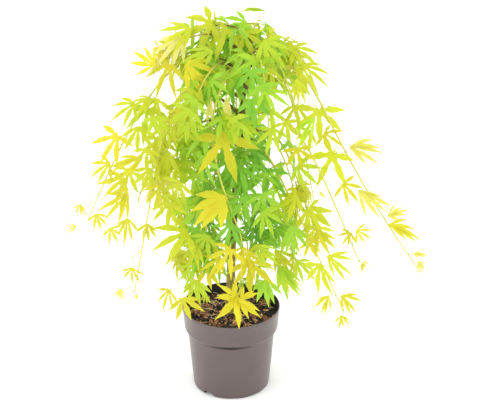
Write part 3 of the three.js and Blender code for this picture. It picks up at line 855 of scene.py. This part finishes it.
def tint_at(point, share, draw):
    """How yellow a spray is: more so away from the middle of the crown, low down and at the tips."""
    rows = zip(point, SHADE_MIDDLE, SHADE_REACH)
    off = Vector([(place - middle) / reach for place, middle, reach in rows]).length
    low = max(0, LOW_FROM - point.z) / LOW_RUN
    return OUTER_YELLOW * off + LOW_YELLOW * low + TIP_YELLOW * share + aside(draw, YELLOW_SCATTER)


def grown_share(point):
    """The share of the leaves that grows near a point. The back of the bell begins at half its radius."""
    if math.hypot(point.x - BELL_AXIS_X, point.y) < BELL_RADIUS:
        return lerp(*BELL_SHARE, min(1, max(0, point.y / (BELL_RADIUS / 2))))
    if abs(point.x - BELL_AXIS_X) > BELL_RADIUS:
        return SIDE_SHARE
    return FRONT_SHARE if point.y < 0 else BACK_SHARE


def pair_places(carrier):
    """The shares at which pairs of leaves stand: close near the foot, then wider apart, one at the tip."""
    share, shares = carrier.start, []
    while share < 1:
        step = lerp(*carrier.spacing, max(0, share * SPACING_GROWTH - SPACING_DELAY)) / carrier.path.length
        share += min(step, (TIP_LEAVES_AT - carrier.start) / 2)
        shares.append(min(share, TIP_LEAVES_AT))
    return shares


def leaves_of(axis, carriers, seed):
    """Opposite pairs of leaves along every limb, twig and sprig. They are young towards the tip."""
    draw = seeded(seed * FINE_SEED_STEP + 1)
    found = []
    for carrier in carriers:
        spray = aside(draw, SPRAY_SCATTER)
        for share in pair_places(carrier):
            growth = growth_at(carrier.path, share, axis)
            youth = max(0, share - YOUNG_FROM) / (1 - YOUNG_FROM) * min(1, carrier.path.length / LONG_STEM)
            tint = spray + tint_at(growth.point, share, draw)
            for hand in (-1, 1):
                size = carrier.size * lerp(1, TIP_LEAF_SHARE, youth) * within(draw, LEAF_VARIETY)
                poses = [leaf_pose(growth, hand, size, draw) for _ in range(LEAF_TRIES)]
                if draw() < grown_share(poses[0][0]):
                    found.append((growth.point, poses, size, youth, tint))
    return found


def wood_near(wood, sight):
    """The mark on the wood that lies a stalk's length off a line of sight, best at the front."""

    def off(point):
        return abs((point - EYE).cross(sight).length - SHOWN_STALK) + FRONT_FIRST * point.y

    return min(wood, key=off)


def shown_leaves(carriers):
    """The leaves that stand out, each on its line of sight. One without wood nearby is left out."""
    wood = [
        carrier.path.at(i / WOOD_MARKS)
        for carrier in carriers
        for i in range(int(carrier.start * WOOD_MARKS) + 1, WOOD_MARKS + 1)
    ]
    draw = seeded(SHOWN_SEED)
    found = []
    for shown in SHOWN_LEAVES:
        sight = (Vector((shown.x, 0, shown.z)) * MM - EYE).normalized()
        root = wood_near(wood, sight)
        end = EYE + sight * ((root - EYE).dot(sight) - SHOWN_STALK / 2)
        if (end - root).length > LONGEST_STALK:
            continue
        heading = math.radians(shown.heading)
        lean = SHOWN_LEAN + aside(draw, SHOWN_LEAN_SCATTER)
        tipward = Vector((math.cos(heading), lean, math.sin(heading))).normalized()
        across = tipward.cross(SHOWN_FACE).normalized()
        across, face = rolled(across, across.cross(tipward), aside(draw, FACE_ROLL / 2))
        width = 1 if shown.broad else min(1, lerp(FOLDED_WIDTH, 1, shown.spread))
        shape = (shown.size * MM, shown.spread, width, *SHOWN_HANG)
        found.append(Leaf(root, end, tipward, across, face, *shape, shown.tint))
    return found


def grown_crown(wood, leaves):
    """All carriers, and the leaves that have room. None hides one that stands out."""
    masses = []
    for limbs, first_seed in ((SHOOTS, SHOOT_SEED), (SPURS, SPUR_SEED)):
        for seed, limb in enumerate(limbs, first_seed):
            masses.append((seed, *carriers_of(limb, seed, limbs is SHOOTS, wood, leaves)))
    carriers = [carrier for _, _, grown in masses for carrier in grown]
    kept = shown_leaves(carriers)
    middles = np.array([leaf.end + leaf.tipward * leaf.size * LEAF_MIDDLE for leaf in kept])
    rooms = np.full(len(kept), leaves.shown_clearance)
    shown = list(middles)
    widths = [leaf.size * LEAF_HALF_WIDTH for leaf in kept]
    front_shoot = arch_of(next(limb for limb in SHOOTS if limb.name == "front_long"))
    for path, bare in ((TRUNK, BARE_TRUNK), (front_shoot, BARE_SHOOT)):
        shown += [path.at(bare.start + i / bare.steps) for i in range(bare.marks)]
        widths += [bare.width] * bare.marks
    eye, shown, widths = np.array(EYE), np.array(shown), np.array(widths)
    low, high = (np.array(corner) for corner in CAD_BOX)
    gaps = np.array([(x, 0, z) for x, z, _ in SKY_GAPS]) * MM
    gap_rooms = np.array([room for _, _, room in SKY_GAPS]) * MM

    def has_room(middle, size):
        """Whether a leaf is in the box of the part, clear of its neighbours and of all that shows."""
        reach = size * LEAF_REACH
        if (middle - reach < low).any() or (middle + reach > high).any():
            return False
        if (np.linalg.norm(middles - middle, axis=1) < rooms).any():
            return False
        distance = np.linalg.norm(middle - eye)
        sight = (middle - eye) / distance
        beyond = (shown - eye) @ sight - distance
        beside = np.linalg.norm(np.cross(shown - eye, sight), axis=1)
        if ((beyond > 0) & (beside < widths)).any():
            return False
        if (np.linalg.norm(np.cross(gaps - eye, sight), axis=1) < gap_rooms).any():
            return False
        outside = abs(middle[0] - BELL_AXIS_X) > BELL_RADIUS
        return not (outside and (beside < widths * OUTER_ROOM).any())

    for seed, axis, grown in masses:
        for root, poses, size, youth, tint in leaves_of(axis, grown, seed):
            for end, tipward, across, face in poses:
                middle = np.array(end + tipward * size * LEAF_MIDDLE)
                if has_room(middle, size):
                    middles = np.vstack([middles, middle])
                    rooms = np.append(rooms, leaves.clearance)
                    shape = (size, lerp(*LEAF_SPREAD, youth), lerp(*LEAF_WIDTH, youth), *LEAF_HANG)
                    kept.append(Leaf(root, end, tipward, across, face, *shape, tint))
                    break
    return carriers, kept


# Leaf blades


def leaf_faces():
    """The faces of a leaf over the points that leaf_outline gives in the same order."""
    faces = []
    first = 1 + len(LOBES) + 1
    for i, (angle, _) in enumerate(LOBES):
        left, right = 1 + i, 2 + i
        if abs(angle) > BASAL_ANGLE:
            faces += [(0, first, left), (0, right, first)]
            first += 1
            continue
        middle = first
        faces += [(0, middle, left), (0, right, middle)]
        for corner in range(first + 1, first + 1 + 3 * len(LOBE_STATIONS), 3):
            faces += [(left, middle, corner + 1, corner), (middle, right, corner + 2, corner + 1)]
            left, middle, right = corner, corner + 1, corner + 2
        faces += [(left, middle, right + 1), (middle, right, right + 1)]
        first = right + 2
    return faces


def leaf_outline(spread, width, fold, droop, draw):
    """The points of a leaf of length 1: x across, y towards its tip, z off its face.

    Spread opens the fan of its lobes, width is that of a lobe, fold lifts its edges, droop lowers its tip.
    """
    turns = [math.radians(angle * spread + aside(draw, LOBE_TURN)) for angle, _ in LOBES]
    reaches = [reach * (1 + aside(draw, LOBE_VARIETY)) for _, reach in LOBES]
    back = math.radians(LEAF_BACK_ANGLE * spread)
    between = [-back, *((a + b) / 2 for a, b in zip(turns, turns[1:])), back]
    depths = [LEAF_BACK_REACH] + [SINUS_REACH] * (len(LOBES) - 1) + [LEAF_BACK_REACH]
    depths[1] = depths[-2] = BASAL_SINUS_REACH
    rows = [(0, 0, 0)]
    rows += [(math.sin(a) * d, math.cos(a) * d, fold * d * SINUS_FOLD) for a, d in zip(between, depths)]
    for (angle, _), turn, reach in zip(LOBES, turns, reaches):
        ahead = np.array((math.sin(turn), math.cos(turn)))
        beside = np.array((math.cos(turn), -math.sin(turn)))
        sweep = aside(draw, LOBE_SWEEP)
        if abs(angle) < BASAL_ANGLE:
            rows.append((*(ahead * SINUS_REACH * LOBE_FOOT_REACH), 0))
            for share, half in LOBE_STATIONS:
                at, half = share * reach, half * width * (0.5 + 0.5 * reach)
                for edge in (-half, 0, half):
                    lift = fold * abs(edge) - droop * at * at
                    rows.append((*(ahead * at + beside * (edge + sweep * share**2)), lift))
        rows.append((*(ahead * reach + beside * sweep), -droop * reach**2))
    return np.array(rows)


LEAF_FACES = leaf_faces()


def leaf_points(leaf, draw):
    """The corners of a leaf where it hangs. Its far ends sag under their own weight."""
    outline = leaf_outline(
        spread=within(draw, SPREAD_VARIETY) * leaf.spread,
        width=within(draw, WIDTH_VARIETY) * leaf.width,
        fold=lerp(*leaf.fold, draw() ** 2),
        droop=within(draw, LEAF_DROOP),
        draw=draw,
    )
    turn = np.array([leaf.across, leaf.tipward, leaf.face])
    points = outline * leaf.size @ turn
    sag = within(draw, leaf.sag)
    points[:, 2] -= sag * (points[:, 0] ** 2 + points[:, 1] ** 2) / leaf.size
    return points + np.array(leaf.end)


# Making pieces


def deselect():
    if bpy.context.mode != "OBJECT":
        bpy.ops.object.mode_set(mode="OBJECT")
    bpy.ops.object.select_all(action="DESELECT")


def only(piece):
    """Selects one piece and makes it the active one."""
    deselect()
    piece.select_set(True)
    bpy.context.view_layer.objects.active = piece
    return piece


def named(name):
    piece = bpy.context.object
    piece.name = piece.data.name = name
    return piece


def apply_modifiers(piece):
    only(piece)
    for modifier in list(piece.modifiers):
        bpy.ops.object.modifier_apply(modifier=modifier.name)


def cleaned(piece, smooth_angle=None):
    """Merges doubles, turns the faces outwards and smooths what bends less than an angle in degrees."""
    only(piece)
    bpy.ops.object.mode_set(mode="EDIT")
    bpy.ops.mesh.select_all(action="SELECT")
    bpy.ops.mesh.remove_doubles(threshold=1e-6)
    bpy.ops.mesh.normals_make_consistent(inside=False)
    bpy.ops.object.mode_set(mode="OBJECT")
    if smooth_angle:
        bpy.ops.object.shade_smooth_by_angle(angle=math.radians(smooth_angle))
    return piece


def finished(piece, replaced, material=None):
    """A piece in the frame: its material and the CAD nodes it stands for."""
    if material:
        piece.data.materials.clear()
        piece.data.materials.append(material)
    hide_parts(*replaced)
    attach(piece, "root")


def joined_mesh(name, points, faces, smooth=False):
    """One mesh from arrays of points and faces."""
    mesh = bpy.data.meshes.new(name)
    mesh.from_pydata(points, [], faces)
    mesh.polygons.foreach_set("use_smooth", [smooth] * len(mesh.polygons))
    mesh.update()
    piece = bpy.data.objects.new(name, mesh)
    bpy.context.scene.collection.objects.link(piece)
    return piece


def tubes(name, lines, resolution):
    """Round stems along lines of (point, radius) rows, as one mesh."""
    deselect()
    bpy.ops.curve.primitive_bezier_curve_add()
    piece = named(name)
    shape = piece.data
    shape.splines.clear()
    for line in lines:
        spline = shape.splines.new("POLY")
        spline.points.add(len(line) - 1)
        for mark, (point, radius) in zip(spline.points, line):
            mark.co = (*point, 1)
            mark.radius = radius
    shape.dimensions = "3D"
    shape.bevel_depth = 1
    shape.bevel_resolution = resolution
    shape.use_fill_caps = True
    bpy.ops.object.convert(target="MESH")
    bpy.ops.object.shade_smooth()
    return named(name)


def taper(foot, tip, start=0.0):
    """The radius of a limb at a share of its length, from its foot at a starting share to its tip."""
    return lambda share: lerp(foot, tip, (share - start) / (1 - start))


def line_along(path, steps, radius_at, start=0.0):
    """Rows of (point, radius) along a path, from a starting share to its end."""
    shares = [lerp(start, 1, i / steps) for i in range(steps + 1)]
    return [(path.at(share), radius_at(share)) for share in shares]


def roughened(piece, name, size, depth):
    """Relief of a depth from clouds of a size, pushed along the normals."""
    texture = bpy.data.textures.new(name, "CLOUDS")
    texture.noise_scale = size
    texture.noise_depth = 2
    modifier = piece.modifiers.new(name, "DISPLACE")
    modifier.texture = texture
    modifier.strength = depth
    modifier.mid_level = 0.5
    apply_modifiers(piece)


# Pot and potting mix


def raised_rings(name, rings, sides):
    """A turned shape: a disc extruded ring by ring, each ring a radius and a height."""
    deselect()
    radius, height = rings[0]
    place = (0, 0, height)
    bpy.ops.mesh.primitive_circle_add(vertices=sides, radius=radius, fill_type="NGON", location=place)
    piece = named(name)
    bpy.ops.object.transform_apply(location=True, rotation=False, scale=False)
    bpy.ops.object.mode_set(mode="EDIT")
    bpy.ops.mesh.select_all(action="SELECT")
    for (radius, height), (wider, higher) in zip(rings, rings[1:]):
        bpy.ops.mesh.extrude_region_move(TRANSFORM_OT_translate={"value": (0, 0, higher - height)})
        share = wider / radius
        bpy.ops.transform.resize(value=(share, share, 1), center_override=(0, 0, higher))
    bpy.ops.object.mode_set(mode="OBJECT")
    return piece


def arc(centre, radii, start, end, steps):
    """Rows of radius and height round an elliptic corner, between two angles in degrees from level."""
    angles = (math.radians(lerp(start, end, i / steps)) for i in range(steps + 1))
    return [(centre[0] + radii[0] * math.cos(a), centre[1] + radii[1] * math.sin(a)) for a in angles]


POT_FLOOR = 12 * MM
# The height of the rounded tuck under the band, and the line of the dark crescent of painted shade in it
BAND_TUCK = 11 * MM
PAINTED_SHADE_LINE = POT_TOP.z - BAND_HEIGHT - BAND_TUCK / 2 + 1.5 * MM
BASE_ROUND = 5 * MM
# The rounding of the rim's lip, how far the lip stands out of the band, and the two depths below the top
# between which it widens. Its inner edge is cut off, this wide and high.
LIP_ROUND = 1.2 * MM
LIP_STEP = 0.6 * MM
LIP_HEIGHTS = (7 * MM, 5.8 * MM)
INNER_EDGE = (0.3 * MM, 1 * MM)
# The turns of the notches in degrees, then the depth and the height of their cutter, half of which is below
# the pot
NOTCH_TURNS = (234, 354, 114)
NOTCH_DEPTH = 40 * MM
NOTCH_SPAN = 17 * MM
# The black inner layer shows from here up, to just under the rim.
LAYER_FROM = 8 * MM
LAYER_MARGIN = 0.8 * MM


def pot_rings(pot):
    """The outline of the pot, up the outside and down the inside."""
    band_foot = pot.height - pot.band_height
    overhang = pot.band_foot_radius - pot.body_top_radius
    inner_rim = pot.rim_radius - pot.wall
    base_corner = arc((pot.base_radius - BASE_ROUND, BASE_ROUND), (BASE_ROUND, BASE_ROUND), -85, 0, 5)
    band_corner = arc((pot.body_top_radius, band_foot + BAND_TUCK / 2), (overhang, BAND_TUCK), -88, 0, 8)
    rim_corner = arc((pot.rim_radius - LIP_ROUND, pot.height - LIP_ROUND), (LIP_ROUND, LIP_ROUND), 0, 90, 4)
    return [
        *base_corner,
        (lerp(pot.base_radius, pot.body_top_radius, 0.97), band_foot - BAND_TUCK / 2 - 4 * MM),
        *band_corner,
        (pot.rim_radius - LIP_STEP, pot.height - LIP_HEIGHTS[0]),
        (pot.rim_radius, pot.height - LIP_HEIGHTS[1]),
        *rim_corner,
        (inner_rim + INNER_EDGE[0], pot.height),
        (inner_rim, pot.height - INNER_EDGE[1]),
        (pot.band_foot_radius - pot.wall, band_foot + BAND_TUCK / 2),
        (pot.body_top_radius - pot.wall, band_foot - BAND_TUCK / 2),
        (pot.base_radius - pot.wall, POT_FLOOR),
    ]


def cut_notches(piece, pot):
    """Three drainage notches through the foot, where the wall meets the base."""
    for turn in NOTCH_TURNS:
        angle = math.radians(turn)
        deselect()
        bpy.ops.mesh.primitive_cube_add(
            size=1,
            location=(pot.base_radius * math.cos(angle), pot.base_radius * math.sin(angle), 0),
            rotation=(0, 0, angle),
            scale=(NOTCH_DEPTH, pot.notch_width, NOTCH_SPAN),
        )
        cutter = named("notch_cutter")
        modifier = piece.modifiers.new("notch", "BOOLEAN")
        modifier.object = cutter
        modifier.operation = "DIFFERENCE"
        apply_modifiers(piece)
        bpy.data.objects.remove(cutter)


class MAPLE_OT_pot(bpy.types.Operator):
    """Models the moulded pot as a turned shape with a plain band, a thin rim and notches in its foot"""

    bl_idname = "maple.pot"
    bl_label = "Pot"

    def execute(self, context):
        pot = context.scene.maple_pot
        piece = raised_rings("pot_shell", pot_rings(pot), pot.sides)
        cut_notches(piece, pot)
        cleaned(piece, smooth_angle=28)
        finished(piece, ["pot"], pot_plastic(context.scene.maple_colours))
        self.line_inside(piece, pot)
        return {"FINISHED"}

    @staticmethod
    def line_inside(piece, pot):
        """Gives the inner side, below the lip, the black inner layer of the pot."""
        piece.data.materials.append(plain("black_inner_layer", linear("#0E0C0C"), 0.6))
        for face in piece.data.polygons:
            inwards = face.center.x * face.normal.x + face.center.y * face.normal.y < 0
            if inwards and LAYER_FROM < face.center.z < pot.height - LAYER_MARGIN:
                face.material_index = 1


# Room between the potting mix and the wall, how far in and down its hidden edge goes, and how near the
# radius of the rim its top stops falling off
MIX_ROOM = 3.6 * MM
MIX_SKIRT = (4 * MM, 35 * MM)
MIX_FALL_ROOM = 4 * MM
MIX_RINGS = 9
MIX_SIDES = 72
CRUMB_SIZE = 5 * MM
CRUMB_DEPTH = 4.5 * MM

# A chip: its length, width and thickness as shares, how much oftener it is short, how it tilts in radians,
# how its corners are worn, how deep it is sunk, how high others lift it, and its room from the wall
CHIP_LENGTHS = (0.25, 1)
CHIP_BIAS = 1.7
CHIP_WIDTHS = (0.15, 0.34)
CHIP_THICKNESS = (0.05, 0.13)
CHIP_TILTS = (0.5, 0.45)
CHIP_WEAR = (0.65, 1.0)
CHIP_SUNK = 0.4
CHIP_LIFT = 1.2 * MM
CHIP_ROOM = 5.5 * MM
# The faces of a block over its corners, which are numbered by their sides in x, y and z
BLOCK_FACES = ((0, 2, 3, 1), (4, 5, 7, 6), (0, 1, 5, 4), (2, 6, 7, 3), (0, 4, 6, 2), (1, 3, 7, 5))

# Kinds of chips: a name, the share of the chips, the length as a share of the longest, a colour and a seed
CHIP_KINDS = (
    ("chips_dark", 0.46, 1.0, "#2A1C14", 5),
    ("chips_brown", 0.34, 1.0, "#7C5032", 6),
    ("chips_pale", 0.14, 0.8, "#BE9060", 7),
    ("grains", 0.06, 0.2, "#D8D0BC", 8),
)

# A fibre: its steps, the least points that one has, the length of its steps and its radius, how it bends at
# each step in radians, how high it lies and its room from the wall
FIBRE_STEPS = 10
FIBRE_LEAST = 4
FIBRE_STEP = (2 * MM, 4.2 * MM)
FIBRE_RADIUS = (0.3 * MM, 0.6 * MM)
FIBRE_BEND = 0.5
FIBRE_WAVER = 0.3
FIBRE_LIFT = 2.2 * MM
FIBRE_START_ROOM = 20 * MM
FIBRE_ROOM = 7 * MM
FIBRE_SEED = 9


def mix_height(soil, pot, x, y):
    """The height of the potting mix, which falls off towards the wall."""
    share = min(1, math.hypot(x, y) / (pot.rim_radius - MIX_FALL_ROOM))
    return soil.level - soil.edge_drop * share * share


def chip_rows(soil, pot, count, longest, seed):
    """Flat, broken chips strewn over the mix: corners of bent blocks, eight for each chip."""
    draw = seeded(seed)
    points, faces = [], []
    for _ in range(count):
        size = longest * lerp(*CHIP_LENGTHS, draw() ** CHIP_BIAS)
        reach = (pot.rim_radius - CHIP_ROOM - size / 2) * math.sqrt(draw())
        turn = draw() * math.tau
        x, y = reach * math.cos(turn), reach * math.sin(turn)
        half = Vector((size / 2, size * within(draw, CHIP_WIDTHS), size * within(draw, CHIP_THICKNESS)))
        lie = Matrix.Rotation(draw() * math.tau, 3, "Z")
        for axis, tilt in zip("XY", CHIP_TILTS):
            lie = lie @ Matrix.Rotation(aside(draw, tilt), 3, axis)
        centre = Vector((x, y, mix_height(soil, pot, x, y) + half.z * CHIP_SUNK + CHIP_LIFT * draw()))
        first = len(points)
        for sides in ((i & 1, i >> 1 & 1, i >> 2) for i in range(8)):
            corner = Vector([side * 2 - 1 for side in sides]) * half
            corner *= within(draw, CHIP_WEAR)
            points.append(centre + lie @ corner)
        faces += [tuple(first + corner for corner in face) for face in BLOCK_FACES]
    return points, faces


def fibre_lines(soil, pot, count, seed):
    """Loose curled fibres that lie on the mix."""
    draw = seeded(seed)
    lines = []
    for _ in range(count):
        reach = (pot.rim_radius - FIBRE_START_ROOM) * math.sqrt(draw())
        turn = draw() * math.tau
        x, y = reach * math.cos(turn), reach * math.sin(turn)
        heading, bend = draw() * math.tau, aside(draw, FIBRE_BEND)
        step, thick = within(draw, FIBRE_STEP), within(draw, FIBRE_RADIUS)
        line = []
        for i in range(FIBRE_STEPS + 1):
            if math.hypot(x, y) > pot.rim_radius - FIBRE_ROOM:
                break
            lift = FIBRE_LIFT + FIBRE_LIFT * math.sin(i / FIBRE_STEPS * math.pi) * draw()
            line.append((Vector((x, y, mix_height(soil, pot, x, y) + lift)), thick))
            x, y = x + step * math.cos(heading), y + step * math.sin(heading)
            heading += bend + aside(draw, FIBRE_WAVER)
        if len(line) >= FIBRE_LEAST:
            lines.append(line)
    return lines


class MAPLE_OT_mix(bpy.types.Operator):
    """Models the crumbly potting mix and strews bark chips, fibres and pale grains over it"""

    bl_idname = "maple.mix"
    bl_label = "Potting mix"

    def execute(self, context):
        scene = context.scene
        soil, pot = scene.maple_soil, scene.maple_pot
        edge = pot.rim_radius - pot.wall - MIX_ROOM
        reaches = [lerp(edge, 1.5 * MM, i / MIX_RINGS) for i in range(MIX_RINGS + 1)]
        rings = [(edge - MIX_SKIRT[0], soil.level - MIX_SKIRT[1])]
        rings += [(reach, mix_height(soil, pot, reach, 0)) for reach in reaches]
        piece = raised_rings("mix_surface", rings, MIX_SIDES)
        self.subdivide_top(piece)
        roughened(piece, "crumbs", CRUMB_SIZE, CRUMB_DEPTH)
        cleaned(piece, smooth_angle=60)
        finished(piece, ["soil"], potting_mix(scene.maple_colours))
        for name, share, size, code, seed in CHIP_KINDS:
            rows = chip_rows(soil, pot, round(soil.chips * share), soil.chip_length * size, seed)
            chips = joined_mesh(name, *rows)
            finished(chips, ["soil"], plain(name, linear(code), 0.85, 0.25, 260))
        fibres = tubes("fibres", fibre_lines(soil, pot, soil.fibres, FIBRE_SEED), 0)
        finished(fibres, ["soil"], plain("coir_fibre", linear("#D8BC90"), 0.8))
        return {"FINISHED"}

    @staticmethod
    def subdivide_top(piece):
        """Cuts the upper side finer, for the crumbs."""
        only(piece)
        bpy.ops.object.mode_set(mode="EDIT")
        bpy.ops.mesh.select_all(action="DESELECT")
        shape = bmesh.from_edit_mesh(piece.data)
        for face in shape.faces:
            face.select_set(face.normal.z > 0.8)
        bmesh.update_edit_mesh(piece.data)
        bpy.ops.mesh.subdivide(number_cuts=3)
        bpy.ops.object.mode_set(mode="OBJECT")


# Trunk, boughs and twigs


# Steps along the trunk and a bough, and along a stem, a twig and a sprig by their order
TRUNK_STEPS = 260
BOUGH_STEPS = 60
STEPS_BY_ORDER = (24, 7, 5)
# The knuckles of the trunk: how far they stand out, and how many radians of their wave its length takes
KNUCKLE = 0.6 * MM
KNUCKLE_WAVE = 60
# The size of the furrows of the bark and of the swellings under it, and how much deeper these are
FURROW_SIZE = 4 * MM
SWELLING_SIZE = 22 * MM
SWELLING_DEPTH = 1.6
BOUGH_RELIEF = 0.5


class MAPLE_OT_wood(bpy.types.Operator):
    """Models the trunk and the boughs with the relief of their bark"""

    bl_idname = "maple.wood"
    bl_label = "Trunk and boughs"

    def execute(self, context):
        scene = context.scene
        wood = scene.maple_wood
        colours = scene.maple_colours

        def radius_at(share):
            flare = wood.flare * math.exp(-share * TRUNK.length / wood.flare_height)
            knuckle = KNUCKLE * max(0, math.sin(share * KNUCKLE_WAVE)) ** 8
            return lerp(wood.trunk_foot, wood.trunk_tip, share) + flare + knuckle

        trunk = tubes("trunk_wood", [line_along(TRUNK, TRUNK_STEPS, radius_at)], 8)
        roughened(trunk, "furrows", FURROW_SIZE, wood.relief)
        roughened(trunk, "swellings", SWELLING_SIZE, wood.relief * SWELLING_DEPTH)
        cleaned(trunk, smooth_angle=80)
        finished(trunk, ["trunk"], maple_bark(colours))

        lines = []
        for limb in SHOOTS:
            bough = stretch(arch_of(limb), 0, BOUGH_SHARE)
            lines.append(line_along(bough, BOUGH_STEPS, taper(wood.bough_foot, wood.bough_tip)))
        boughs = tubes("bough_wood", lines, 3)
        roughened(boughs, "bough_relief", FURROW_SIZE, wood.relief * BOUGH_RELIEF)
        cleaned(boughs, smooth_angle=80)
        finished(boughs, BOUGHS, shoot_bark(colours))
        return {"FINISHED"}


class MAPLE_OT_twigs(bpy.types.Operator):
    """Grows the stems, twigs and leaf stalks of the foliage"""

    bl_idname = "maple.twigs"
    bl_label = "Stems and twigs"

    def execute(self, context):
        scene = context.scene
        wood = scene.maple_wood
        carriers, leaves = grown_crown(wood, scene.maple_leaves)
        groups = (
            ("stems", (0,), 1, shoot_bark(scene.maple_colours)),
            ("twigs", (1, 2), 0, plain("young_twig_skin", scene.maple_colours.twig, 0.5)),
        )
        for name, orders, resolution, skin in groups:
            lines = []
            for carrier in carriers:
                if carrier.order in orders:
                    radius_at = taper(*carrier.radii, carrier.wood_from)
                    steps = STEPS_BY_ORDER[carrier.order]
                    lines.append(line_along(carrier.path, steps, radius_at, carrier.wood_from))
            finished(tubes(name, lines, resolution), FOLIAGE, skin)
        lines = []
        for leaf in leaves:
            raised = (leaf.root + leaf.end) / 2 + UP * (leaf.end - leaf.root).length * STALK_RISE
            lines.append([(leaf.root, wood.stalk), (raised, wood.stalk), (leaf.end, wood.stalk * 0.9)])
        stalks = tubes("stalks", lines, 0)
        finished(stalks, FOLIAGE, plain("stalk_skin", scene.maple_colours.stalk, 0.5))
        return {"FINISHED"}


# Leaves

# Leaf colours from shade to light, each with the share of the leaves that gets it
TINTS = {
    "shade": (0.05, "#72A93A"),
    "deep": (0.12, "#82B83A"),
    "mid": (0.17, "#97C038"),
    "fresh": (0.18, "#A5C533"),
    "lime": (0.17, "#B0C431"),
    "yellow_lime": (0.21, "#BCC22F"),
    "gold": (0.07, "#C1BC2E"),
    "pale_gold": (0.03, "#CAC458"),
    # A gold lightened to paint light onto gold leaves that hang in shade
    "bright_gold": (0.0, "#CCC22D"),
    # A pale cream that paints the glare of strong light on a leaf
    "cream": (0.0, "#DFD882"),
}
# How much brighter the light is that comes through a leaf
LEAF_GLOW = 1.35


def dealt(leaves):
    """The leaves by the name of their colour: the greenest sprays get the first colours."""
    groups = {name: [leaf for leaf in leaves if leaf.tint == name] for name in TINTS}
    grown = sorted((leaf for leaf in leaves if leaf.tint not in TINTS), key=lambda leaf: leaf.tint)
    first, share = 0, 0
    for name, (part, _) in TINTS.items():
        share += part
        last = round(share * len(grown))
        groups[name] += grown[first:last]
        first = last
    return groups


def leaf_skin(name, code):
    # A thin leaf: a dull waxy skin over a blade that glows when lit from behind.
    material, tree, shader = new_material(name)
    tone = linear(code)
    shader.inputs["Base Color"].default_value = (*tone, 1)
    shader.inputs["Roughness"].default_value = 0.5
    shader.inputs["Specular IOR Level"].default_value = 0.3
    glow = add_node(tree, "ShaderNodeBsdfTranslucent", Color=(*shaded(tone, LEAF_GLOW), 1))
    mixed = add_node(tree, "ShaderNodeMixShader", Fac=0.5)
    tree.links.new(shader.outputs["BSDF"], mixed.inputs[1])
    tree.links.new(glow.outputs["BSDF"], mixed.inputs[2])
    tree.links.new(mixed.outputs["Shader"], tree.nodes["Material Output"].inputs["Surface"])
    return material


class MAPLE_OT_leaves(bpy.types.Operator):
    """Grows the leaves and deals their colours out by spray"""

    bl_idname = "maple.leaves"
    bl_label = "Leaves"

    def execute(self, context):
        scene = context.scene
        _, leaves = grown_crown(scene.maple_wood, scene.maple_leaves)
        draw = seeded(2)
        for name, group in dealt(leaves).items():
            blades = [leaf_points(leaf, draw) for leaf in group]
            size = len(blades[0])
            firsts = range(0, len(blades) * size, size)
            faces = [tuple(first + corner for corner in face) for first in firsts for face in LEAF_FACES]
            piece = joined_mesh("leaves_" + name, np.vstack(blades).tolist(), faces, smooth=True)
            finished(piece, FOLIAGE, leaf_skin("leaf_skin_" + name, TINTS[name][1]))
        return {"FINISHED"}


# Studio


class MAPLE_OT_studio(bpy.types.Operator):
    """Sets up the pale floor, the soft light and the camera"""

    bl_idname = "maple.studio"
    bl_label = "Studio"

    def execute(self, context):
        scene = context.scene
        studio = scene.maple_studio
        deselect()
        bpy.ops.mesh.primitive_plane_add(size=16)
        floor = named("floor")
        floor.data.materials.append(plain("matt_white_floor", (0.86, 0.86, 0.86), 0.9))
        world = bpy.data.worlds.new("studio")
        scene.world = world
        world.use_nodes = True
        world.node_tree.nodes["Background"].inputs["Color"].default_value = (1, 1, 1, 1)
        world.node_tree.nodes["Background"].inputs["Strength"].default_value = studio.sky
        for name, power, size, place in (
            ("key", studio.key, 1.6, (-2.1, -1.2, 1.8)),
            ("fill", studio.fill, 1.8, (2.0, -1.2, 1.8)),
        ):
            bpy.ops.object.light_add(type="AREA", location=place)
            lamp = named(name)
            lamp.data.shape = "DISK"
            lamp.data.size = size
            lamp.data.energy = power
            aim = Vector((0, 0, 0.4)) - lamp.location
            lamp.rotation_euler = aim.to_track_quat("-Z", "Y").to_euler()
        bpy.ops.object.camera_add(location=EYE, rotation=(math.radians(CAMERA_TILT), 0, 0))
        camera = named("camera")
        camera.data.lens = CAMERA_LENS
        camera.data.sensor_width = 36
        scene.camera = camera
        scene.view_settings.view_transform = "Standard"
        return {"FINISHED"}


class MAPLE_PT_sidebar(bpy.types.Panel):
    """The pieces of the maple"""

    bl_label = "Maple"
    bl_space_type = "VIEW_3D"
    bl_region_type = "UI"
    bl_category = "Maple"

    def draw(self, context):
        for step in STEPS:
            self.layout.operator(step.bl_idname)


STEPS = (MAPLE_OT_pot, MAPLE_OT_mix, MAPLE_OT_wood, MAPLE_OT_twigs, MAPLE_OT_leaves, MAPLE_OT_studio)
GROUPS = {
    "maple_pot": PotSizes,
    "maple_soil": SoilSizes,
    "maple_wood": WoodSizes,
    "maple_leaves": LeafSizes,
    "maple_colours": PlantColours,
    "maple_studio": StudioSettings,
}


def register():
    for kind in (*GROUPS.values(), *STEPS, MAPLE_PT_sidebar):
        bpy.utils.register_class(kind)
    for name, kind in GROUPS.items():
        setattr(bpy.types.Scene, name, PointerProperty(type=kind))


def unregister():
    for name in GROUPS:
        delattr(bpy.types.Scene, name)
    for kind in (MAPLE_PT_sidebar, *reversed(STEPS), *GROUPS.values()):
        bpy.utils.unregister_class(kind)


def main():
    register()
    bpy.ops.maple.pot()
    bpy.ops.maple.mix()
    bpy.ops.maple.wood()
    bpy.ops.maple.twigs()
    bpy.ops.maple.leaves()
    bpy.ops.maple.studio()


if __name__ == "__main__":
    main()
